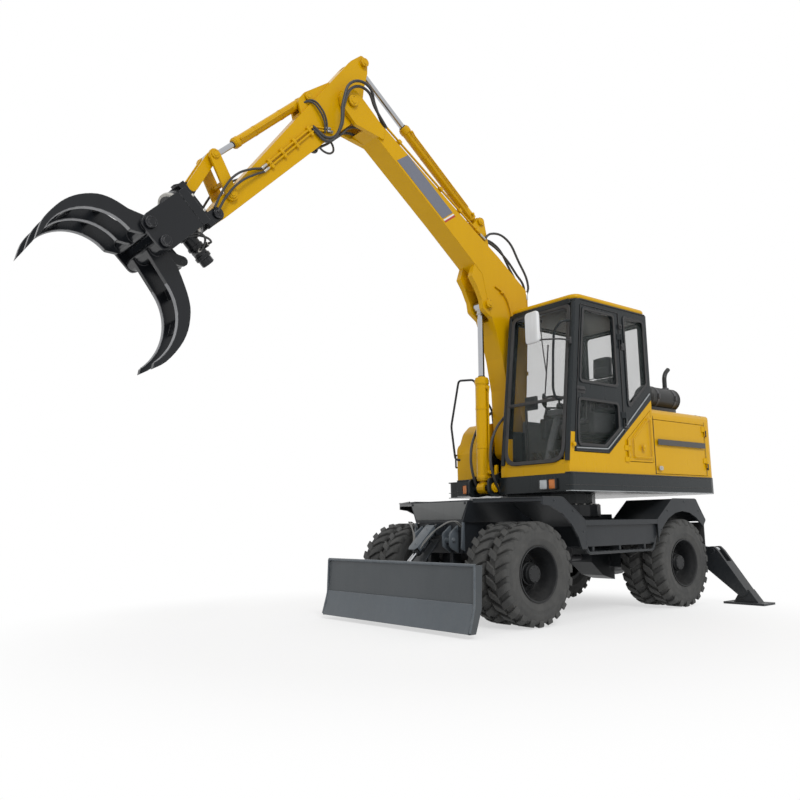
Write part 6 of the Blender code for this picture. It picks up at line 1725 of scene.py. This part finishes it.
# --- Boom and arm ----------------------------------------------------------------------
@dataclass
class Boom:
    """Pins, band, pipes and hoses of the boom, and the pipes on its cylinders."""

    half: float = 0.12
    lower_line: tuple[Pair, Pair] = ((1.24, 3.91), (2.07, 4.56))
    top: tuple[Pair, ...] = ((0.66, 3.875), (1.07, 4.135), (1.96, 4.715))
    back: tuple[Pair, ...] = ((0.012, 3.36), (0.012, 3.18), (0.085, 2.30), (0.150, 1.78))
    band: tuple[Pair, ...] = ((0.02, 0.022), (0.76, 0.022), (0.71, 0.186), (-0.03, 0.186))
    pins: tuple[tuple[str, Pair, Pair, float], ...] = (
        (UPPER, (0.27, 1.62), (-0.257, 0.057), 0.042), (UPPER, (0.66, 1.24), (-0.257, 0.057), 0.038),
        ("boom", (0.625, 3.15), (-0.242, 0.042), 0.034), ("boom", (0.66, 4.06), (-0.187, -0.013), 0.030),
        ("boom", (2.37, 4.816), (-0.257, 0.057), 0.040), ("arm", (2.2033, 5.2891), (-0.217, 0.017), 0.032),
        ("arm", (2.8198, 4.7316), (-0.187, -0.013), 0.026), ("rocker", (3.7334, 3.8852), (-0.227, 0.027), 0.026),
        ("rocker", (3.5746, 3.586), (-0.227, 0.027), 0.028), ("hanger", (3.70, 3.385), (-0.237, 0.037), 0.032))

    def pin_caps(self) -> None:
        """Makes the caps on both ends of every pin of the working gear."""
        for i, (body, (x, z), (low, high), radius) in enumerate(self.pins):
            caps = pin_cap(at(x, high, z), LEFT, radius)
            put(f"pin_caps_{i}", caps.join(pin_cap(at(x, low, z), -LEFT, radius)),
                BLACK if body == "hanger" else YELLOW, body)

    def bands(self) -> None:
        """Makes the painted band with its two end stripes on both sides."""
        (x0, z0), (x1, z1) = self.lower_line
        way = Vector((x1 - x0, z1 - z0)).normalized()
        up = Vector((-way.y, way.x))

        def corner(s: float, n: float) -> Vector:
            """Returns a place along and across the boom."""
            return Vector((x0, z0)) + way * s + up * n

        low, right, top, left = self.band
        rows = [("band", [low, right, top, left], BAND)]
        for name, start, finish in (("white", -0.030, BAND_WHITE), ("red", -0.050, BAND_RED)):
            rows.append((f"band_{name}", [(low[0] + start, low[1]), (low[0] + start + 0.018, low[1]),
                                          (left[0] + start + 0.018, left[1]), (left[0] + start, left[1])], finish))
        for name, corners, finish in rows:
            points = [tuple(corner(*c)) for c in corners]
            near = plate(Axis.Y, BOOM_Y + self.half - 0.001, BOOM_Y + self.half + 0.0015, points)
            put(f"boom_{name}", near.both_sides(BOOM_Y), finish, "boom")

    def pipes(self) -> None:
        """Makes the steel pipes on the boom's back and the hoses between them."""
        pipes, clamps, fittings = Shape(), Shape(), Shape()
        for y in (-0.005, -0.045, -0.155, -0.195):
            lift = 0.016
            pipes.join(tube([at(x - 0.010, y, z + lift) for x, z in self.top], 0.011, True))
            pipes.join(tube([at(x - lift, y, z) for x, z in self.back], 0.011, True))
            (x0, z0), (xb, zb) = self.top[0], self.back[0]
            fittings.join(nut(at(x0 + 0.03, y, z0 + lift + 0.02), at(x0 - 0.045, y, z0 + lift - 0.027), 0.016))
            fittings.join(nut(at(xb - lift, y, zb - 0.05), at(xb - lift, y, zb + 0.03), 0.016))
        put("boom_pipes", pipes, YELLOW, "boom")
        for line in (self.top, self.back[1:]):
            for (x0, z0), (x1, z1) in zip(line, line[1:]):
                way = (at(x1, 0, z1) - at(x0, 0, z0)).normalized()
                for share in (0.2, 0.8):
                    for y in (-0.025, -0.175):
                        place = at(x0 + (x1 - x0) * share, y, z0 + (z1 - z0) * share)
                        lug = slab(rectangle((-0.022, 0.022), (-0.045, 0.045), 0.008), 0.036, 0.005)
                        frame = basis(place, way, LEFT)
                        if frame.col[2].z < 0 or frame.col[2].x > 0:
                            frame = basis(place, way, -LEFT)
                        clamps.join(lug.move(frame @ Matrix.Translation((0, 0, -0.006))))
                        clamps.join(bolt(frame @ Vector((0, 0, 0.029)), frame.col[2].xyz, 0.008))
        put("boom_pipe_clamps", clamps, YELLOW, "boom")
        put("boom_fittings", fittings, ZINC, "boom")
        hoses = Shape()
        for y, out in ((-0.005, 0.12), (-0.045, 0.02), (-0.155, 0.10), (-0.195, 0.03)):
            hoses.join(tube([at(0.625, y, 3.872), at(0.52, y, 3.845 + out * 0.9), at(0.285, y, 3.715 + out * 1.9),
                             at(0.105, y, 3.565 + out * 1.4), at(-0.005 - out * 0.28, y, 3.47), at(-0.004, y, 3.36)],
                            0.0125))
        put("boom_back_hoses", hoses, HOSE, "boom")
        side = tube([at(0.155, 0.034, 1.80), at(0.25, 0.034, 2.28), at(0.29, 0.034, 2.62), at(0.28, 0.034, 2.90)],
                    0.009)
        side.join(tube([at(0.28, 0.034, 2.90), at(0.30, 0.034, 3.12), at(0.40, 0.034, 3.30), at(0.52, 0.03, 3.36)],
                       0.009))
        for x, z in ((0.21, 2.10), (0.285, 2.55), (0.29, 3.02), (0.42, 3.31)):
            side.join(block((x - 0.02, x + 0.02), (0.018, 0.046), (z - 0.014, z + 0.014), 0.005))
        put("boom_side_pipes", side, YELLOW, "boom")

    def hoses(self) -> None:
        """Makes the hoses over the boom's foot and over its nose."""
        foot = Shape()
        for y0, y1, x in ((0.075, 0.072, 0.0), (-0.185, -0.236, 0.02)):
            foot.join(tube([at(0.60 + x, y0, 1.18), at(0.70 + x, y0 + 0.01, 1.34), at(0.725 + x, y0, 1.58),
                            at(0.65, (y0 + y1) / 2, 1.80), at(0.50, y1, 1.96), at(0.36, y1, 2.06)], 0.014))
        for y in (-0.145, -0.06):
            foot.join(tube([at(0.06, y, 1.36), at(-0.03, y, 1.55), at(0.02, y, 1.75), at(0.135, y, 1.84)], 0.0125))
        put_blended("boom_foot_hoses", foot, HOSE, (UPPER, "boom"))
        nose = Shape()
        for k, start in enumerate((-0.005, -0.045)):
            for flip in (1, -1):
                d, o = 0.030 * k, 0.026 * k
                ys = (start, 0.035, 0.082 + o, 0.088 + o, 0.080 + o, 0.060 + o, 0.034, 0.010)
                line = ((1.93, 4.712), (2.10, 4.850 + d), (2.22, 4.955 + d), (2.385 + d, 4.935 + d), (2.490 + d, 4.730),
                        (2.515 + d, 4.500 - d), (2.625, 4.372 - d), (2.790, 4.445 - d))
                nose.join(tube([at(x, BOOM_Y + flip * (y - BOOM_Y), z) for y, (x, z) in zip(ys, line)], 0.0135))
        put_blended("boom_nose_hoses", nose, HOSE, ("boom", "arm"))
        under = Shape()
        for y in (-0.03, -0.17):
            under.join(tube([at(2.11, y, 4.62), at(2.33, y, 4.60), at(2.46, y, 4.48), at(2.53, y, 4.42),
                             at(2.64, y, 4.36), at(2.74, y, 4.36)], 0.012))
        put_blended("elbow_hoses", under, HOSE, ("boom", "arm"))

    def cylinders(self) -> None:
        """Makes the fittings of the boom, arm and tilt cylinders."""
        joints = Datum.joints
        Cylinder("boom_cylinder", "boom_barrel", "boom_rod", joints["boom_barrel_swing"], at(0.625, BOOM_Y, 3.15),
                 0.0675, 1.12, 0.0325, LEFT, swell=1.04).build()
        Cylinder("arm_cylinder", "arm_barrel", "arm_rod", joints["arm_barrel_swing"], at(2.2033, BOOM_Y, 5.2891), 0.05,
                 1.244, 0.03, LEFT).build()
        Cylinder("tilt_cylinder", "tilt_barrel", "tilt_rod", joints["tilt_barrel_swing"], joints["tilt_link_swing"],
                 0.043, 0.93, 0.025, LEFT).build()

    def build(self) -> None:
        """Makes all of the boom's pieces."""
        self.pin_caps()
        self.bands()
        self.pipes()
        self.hoses()
        self.cylinders()


@dataclass
class Arm:
    """Pipes, clamps, fittings and hoses of the arm."""

    elbow: Pair = (2.37, 4.816)
    along: Pair = (0.681, -0.732)
    pipe_sides: Pair = (0.008, -0.208)
    pipe_rows: Pair = (0.018, 0.052)

    def place(self, t: float, n: float, y: float) -> Vector:
        """Returns a place at t along the arm and n above its line."""
        (x, z), (a, b) = self.elbow, self.along
        return at(x + a * t - b * n, y, z + b * t + a * n)

    def build(self) -> None:
        """Makes the arm's pipes, clamps and hoses."""
        pipes, clamps = Shape(), Shape()
        along, down = self.along
        for n in self.pipe_rows:
            for y in self.pipe_sides:
                pipes.join(tube([self.place(0.42, n - 0.10, y), self.place(0.56, n, y), self.place(1.28, n, y)],
                                0.010, True))
        for t in (0.62, 0.84, 1.02, 1.20):
            for y in (0.006, -0.206):
                centre = self.place(t, 0.035, y)
                lug = slab(rectangle((-0.016, 0.016), (-0.045, 0.045), 0.008), 0.030, 0.005)
                lug.move(basis(centre, Vector((along, 0, down)), Vector((-down, 0, along)))
                         @ Matrix.Translation((0, 0, -0.015)))
                clamps.join(lug)
                clamps.join(bolt(centre + Vector((0, 0.014 if y > 0 else -0.014, 0)),
                                 across(y), 0.007))
        put("arm_pipes", pipes, YELLOW, "arm")
        put("arm_pipe_clamps", clamps, YELLOW, "arm")
        ends = Shape()
        for y in self.pipe_sides:
            for n in self.pipe_rows:
                ends.join(nut(self.place(1.24, n, y), self.place(1.31, n, y), 0.015))
                ends.join(nut(self.place(0.40, n - 0.115, y), self.place(0.45, n - 0.078, y), 0.015))
        put("arm_fittings", ends, ZINC, "arm")
        hoses = Shape()
        for y, sign in zip(self.pipe_sides, (1, -1)):
            for k, n in enumerate(self.pipe_rows):
                hoses.join(tube([self.place(1.31, n, y), self.place(1.42, n + 0.03 + 0.02 * k, y + 0.02 * sign),
                                 self.place(1.60, n + 0.06 + 0.03 * k, y + 0.045 * sign),
                                 self.place(1.80, 0.06 + 0.05 * k, y + 0.05 * sign),
                                 self.place(1.96, 0.01 + 0.04 * k, y + 0.045 * sign)], 0.010))
        put_blended("arm_end_hoses", hoses, HOSE, ("arm", "hanger"))
        loop = Shape()
        for flip in (1, -1):
            for k, d in enumerate((0.0, 0.03)):
                rows = ((0.46 + d, -0.060, 0.112), (0.40 + d, 0.010, 0.125), (0.36 + d, 0.130, 0.125),
                        (0.37 + d, 0.225, 0.105), (0.42 + d, 0.262, 0.062))
                loop.join(tube([self.place(t, n, BOOM_Y + flip * y) for t, n, y in rows], 0.009))
        loop.join(tube([self.place(0.62, -0.09, -0.02), self.place(0.60, -0.18, -0.02), self.place(0.50, -0.235, -0.05),
                        self.place(0.42, -0.20, -0.08), self.place(0.40, -0.13, -0.09)], 0.010))
        put("tilt_cylinder_hoses", loop, HOSE, "arm")


# --- Grapple ---------------------------------------------------------------------------
@dataclass
class Grapple:
    """Wear and painted-highlight strips, bosses, motor and hoses of the turning grapple."""

    origin: Pair = (4.05, 3.25)
    tines: dict[str, tuple[float, ...]] = field(default_factory=lambda: {"upper_jaw": (-0.27, 0.0, 0.27),
                                                                        "lower_jaw": (-0.135, 0.135)})
    arcs: dict[str, tuple[float, float, float, float, float]] = field(default_factory=lambda: {
        "upper_jaw": (0.80, 0.12, 0.358, 68, 178), "lower_jaw": (0.857, -0.281, 0.439, 186, 276)})
    jaw_pins: dict[str, Pair] = field(default_factory=lambda: {"upper_jaw": (0.305, 0.083),
                                                               "lower_jaw": (0.305, -0.083)})

    def place(self, p: float, q: float, y: float) -> Vector:
        """Returns a place at p along the grapple and q across it."""
        x, z = self.origin
        return at(x + (p + q) * math.sqrt(0.5), y, z + (q - p) * math.sqrt(0.5))

    def frame(self, y: float) -> Matrix:
        """Returns the grapple's frame with u along p and v along q, at a distance along Y."""
        return basis(self.place(0, 0, y), Vector((1, 0, -1)), Vector((1, 0, 1)))

    def rims(self) -> None:
        """Makes the strips along both jaws' inner edges, whose lighter grey is rubbed steel and a painted highlight."""
        for jaw, rows in self.tines.items():
            cp, cq, radius, start, end = self.arcs[jaw]
            arc = [math.radians(start + (end - start) * i / 22) for i in range(23)]
            made = Shape()
            for row in rows:
                outline = [(cp + (radius + 0.003) * math.cos(a), cq + (radius + 0.003) * math.sin(a)) for a in arc]
                outline += [(cp + (radius - 0.005) * math.cos(a), cq + (radius - 0.005) * math.sin(a))
                            for a in reversed(arc)]
                # Each strip's lighter grey is rubbed steel and a painted highlight along the tine's crease.
                strip = slab(outline, 0.041, 0.002, 1)
                made.join(strip.move(self.frame(BOOM_Y + row) @ Matrix.Translation((0, 0, -0.0205))))
            put(f"{jaw}_wear_and_highlight_edges", made, WORN_STEEL_AND_HIGHLIGHT, jaw)

    def bosses(self) -> None:
        """Makes the jaws' pin caps."""
        for jaw, (p, q) in self.jaw_pins.items():
            caps = Shape()
            for y, out in ((0.247, 1), (-0.447, -1)):
                caps.join(pin_cap(self.place(p, q, y), Vector((0, out, 0)), 0.034))
            put(f"{jaw}_pin_caps", caps, BLACK, "grapple_head")

    def motor(self) -> None:
        """Makes the slewing ring's band and the hydraulic motor."""
        zero, way = self.place(0, 0, BOOM_Y), Vector((1, 0, -1)).normalized()
        ring = turned([(-0.128, 0.190), (-0.128, 0.207), (-0.122, 0.211), (-0.104, 0.211), (-0.098, 0.207),
                       (-0.098, 0.190)], zero, zero + way, 56, whole=True)
        put("slewing_band", ring, ZINC, "hanger")
        one = bolt(self.place(-0.172, 0.165, BOOM_Y), -way, 0.010)
        put("slewing_bolts", one.around(16, zero, way), BLACK, "hanger")
        start = self.place(-0.06, -0.14, BOOM_Y)
        out = Vector((-1, 0, -1)).normalized()
        motor = turned([(-0.02, 0.0), (-0.02, 0.070), (0.03, 0.072), (0.035, 0.060), (0.10, 0.060), (0.105, 0.068),
                        (0.13, 0.068), (0.135, 0.058), (0.19, 0.058), (0.195, 0.067), (0.225, 0.067), (0.235, 0.05),
                        (0.285, 0.046), (0.288, 0.0)], start, start + out, 32)
        for p in (-0.05, 0.05):
            port = start + out * 0.15 + way * p
            motor.join(rod(port, port + Vector((0, 0.09, 0)), 0.020, None, 16, 0.003))
        put("slewing_motor", motor, BLACK, "grapple_head")
        fittings = Shape()
        for p in (-0.05, 0.05):
            port = start + out * 0.15 + way * p + Vector((0, 0.085, 0))
            fittings.join(nut(port, port + Vector((0, 0.03, 0)), 0.015))
            fittings.join(nut(self.place(-0.25, p * 1.4, BOOM_Y + 0.10), self.place(-0.25, p * 1.4, BOOM_Y + 0.15),
                              0.014))
        put("grapple_fittings", fittings, ZINC, "grapple_head")
        hoses = Shape()
        for p, swing in ((-0.05, 0.05), (0.05, 0.09)):
            port = start + out * 0.15 + way * p + Vector((0, 0.11, 0))
            hoses.join(tube([port, port + Vector((0, 0.05, 0)), self.place(-0.02, -0.20, BOOM_Y + 0.18 + swing),
                             self.place(0.08, -0.12, BOOM_Y + 0.16), self.place(0.12, -0.02, BOOM_Y + 0.06)], 0.009))
        put("motor_hoses", hoses, HOSE, "grapple_head")

    def build(self) -> None:
        """Makes all of the grapple's pieces."""
        self.rims()
        self.bosses()
        self.motor()
        Cylinder("jaw_cylinder", "jaw_barrel", "jaw_rod", Datum.joints["jaw_barrel_swing"], at(4.2515, BOOM_Y, 3.2182),
                 0.036, 0.28, 0.022, LEFT, finish=BLACK, swell=1.03, has_pipe=False).build()


# --- Frame nodes' finishes -------------------------------------------------------------
class Dress:
    """The finishes of the CAD nodes that stay in sight."""

    @staticmethod
    def build(frame: dict[str, Any]) -> None:
        """Puts a finish on every CAD node.
        """
        slots = {"yellow_paint": YELLOW, "grey_paint": DARK, "frame_paint": SLATE, "black_paint": BLACK,
                 "rubber": TREAD, "chrome": CHROME, "glass": GLASS, "seat_cloth": SEAT_CLOTH, "cast_iron": IRON}
        special = {"blade": BLADE}
        given = {part["node"]: part["material_slot"] for part in frame["record"]["subparts"]}
        for name, node in frame["nodes"].items():
            finish = special.get(name, slots[given[name]])
            node.data.materials.clear()
            node.data.materials.append(finish.material())
            LOG.info("%s: %s", name, finish.name)


# --- Studio ----------------------------------------------------------------------------
@dataclass
class Studio:
    """Floor, light and camera."""

    sun_from: Triple = (0.35, 0.85, 0.75)
    sun_strength: float = 1.35
    sky: float = 0.66
    eye: Triple = (4.78314, 5.5619, 0.8980)
    yaw: float = 230.9
    pitch: float = 9.0
    roll: float = -0.93
    lens: float = 35.1
    sensor: float = 36.0
    floor_radius: float = 60.0
    floor_grey: float = 0.92

    @staticmethod
    def seen(web: Web) -> bpy.types.NodeSocket:
        """Returns 1 on what the camera sees, straight or through gloss or glass."""
        path = web.node("ShaderNodeLightPath")
        return web.math("MAXIMUM", web.math("MAXIMUM", path.outputs["Is Camera Ray"], path.outputs["Is Glossy Ray"]),
                        path.outputs["Is Transmission Ray"])

    def world(self) -> None:
        """Makes the even sky, white where the camera, gloss or glass sees it."""
        world = bpy.data.worlds.new("studio")
        bpy.context.scene.world = world
        world.use_nodes = True
        web = Web(world.node_tree)
        level = web.plus(web.times(self.seen(web), 1.0 - self.sky), self.sky)
        back = world.node_tree.nodes["Background"]
        web.feed(back, "Color", (1.0, 1.0, 1.0, 1.0))
        web.feed(back, "Strength", level)

    def floor(self) -> None:
        """Makes the pale floor, whose far part is as white as the sky."""
        shape = Shape()
        bmesh.ops.create_circle(shape.bm, cap_ends=True, segments=96, radius=self.floor_radius)
        shape.shift(0, 0, -0.002)
        mesh = bpy.data.meshes.new("floor")
        shape.bm.to_mesh(mesh)
        shape.bm.free()
        material = bpy.data.materials.new("pale floor")
        material.use_nodes = True
        web = Web(material.node_tree)
        shader = material.node_tree.nodes["Principled BSDF"]
        web.feed(shader, "Base Color", (*[self.floor_grey] * 3, 1.0))
        web.feed(shader, "Roughness", 0.9)
        web.feed(shader, "Specular IOR Level", 0.1)
        place = web.node("ShaderNodeTexCoord").outputs["Object"]
        away = web.node("ShaderNodeVectorMath", {0: place}, operation="LENGTH").outputs["Value"]
        share = web.times(web.span(away, 2.2, 4.4, 0.58, 1.0), self.seen(web))
        glow = web.node("ShaderNodeEmission", {"Color": (1.0, 1.0, 1.0, 1.0), "Strength": 1.0})
        mixed = web.node("ShaderNodeMixShader", {0: share, 1: shader.outputs[0], 2: glow.outputs[0]})
        web.feed(material.node_tree.nodes["Material Output"], "Surface", mixed.outputs[0])
        mesh.materials.append(material)
        floor = bpy.data.objects.new("floor", mesh)
        bpy.context.scene.collection.objects.link(floor)

    def light(self) -> None:
        """Makes the soft key light."""
        sun = bpy.data.lights.new("key", "SUN")
        sun.energy = self.sun_strength
        sun.angle = math.radians(20)
        lamp = bpy.data.objects.new("key", sun)
        lamp.rotation_euler = Vector(self.sun_from).to_track_quat("Z", "Y").to_euler()
        bpy.context.scene.collection.objects.link(lamp)

    def camera(self) -> None:
        """Makes the camera."""
        data = bpy.data.cameras.new("camera")
        data.lens = self.lens
        data.sensor_width = self.sensor
        data.clip_end = 500.0
        yaw, pitch, roll = (math.radians(a) for a in (self.yaw, self.pitch, self.roll))
        ahead = Vector((math.cos(yaw) * math.cos(pitch), math.sin(yaw) * math.cos(pitch), math.sin(pitch)))
        right = ahead.cross(UP).normalized()
        up = right.cross(ahead)
        turned_right = right * math.cos(roll) + up * math.sin(roll)
        turned_up = up * math.cos(roll) - right * math.sin(roll)
        camera = bpy.data.objects.new("camera", data)
        camera.matrix_world = Matrix.Translation(self.eye) @ Matrix((turned_right, turned_up,
                                                                     -ahead)).transposed().to_4x4()
        bpy.context.scene.collection.objects.link(camera)
        bpy.context.scene.camera = camera

    def build(self) -> None:
        """Makes the whole studio."""
        bpy.context.scene.view_settings.view_transform = "Standard"
        self.world()
        self.floor()
        self.light()
        self.camera()


def main() -> None:
    """Builds the looks on the frame, from the ground up."""
    logging.basicConfig(level=logging.INFO, format="%(message)s")
    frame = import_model()
    Datum.read(frame)
    Studio().build()
    Dress.build(frame)
    for assembly in (Wheels(), Chassis(), Blade(), Outriggers(), Deck(), Cab(), Seat(), Body(), Boom(), Arm(),
                     Grapple()):
        LOG.info("building %s", type(assembly).__name__)
        assembly.build()


if __name__ == "__main__":
    main()
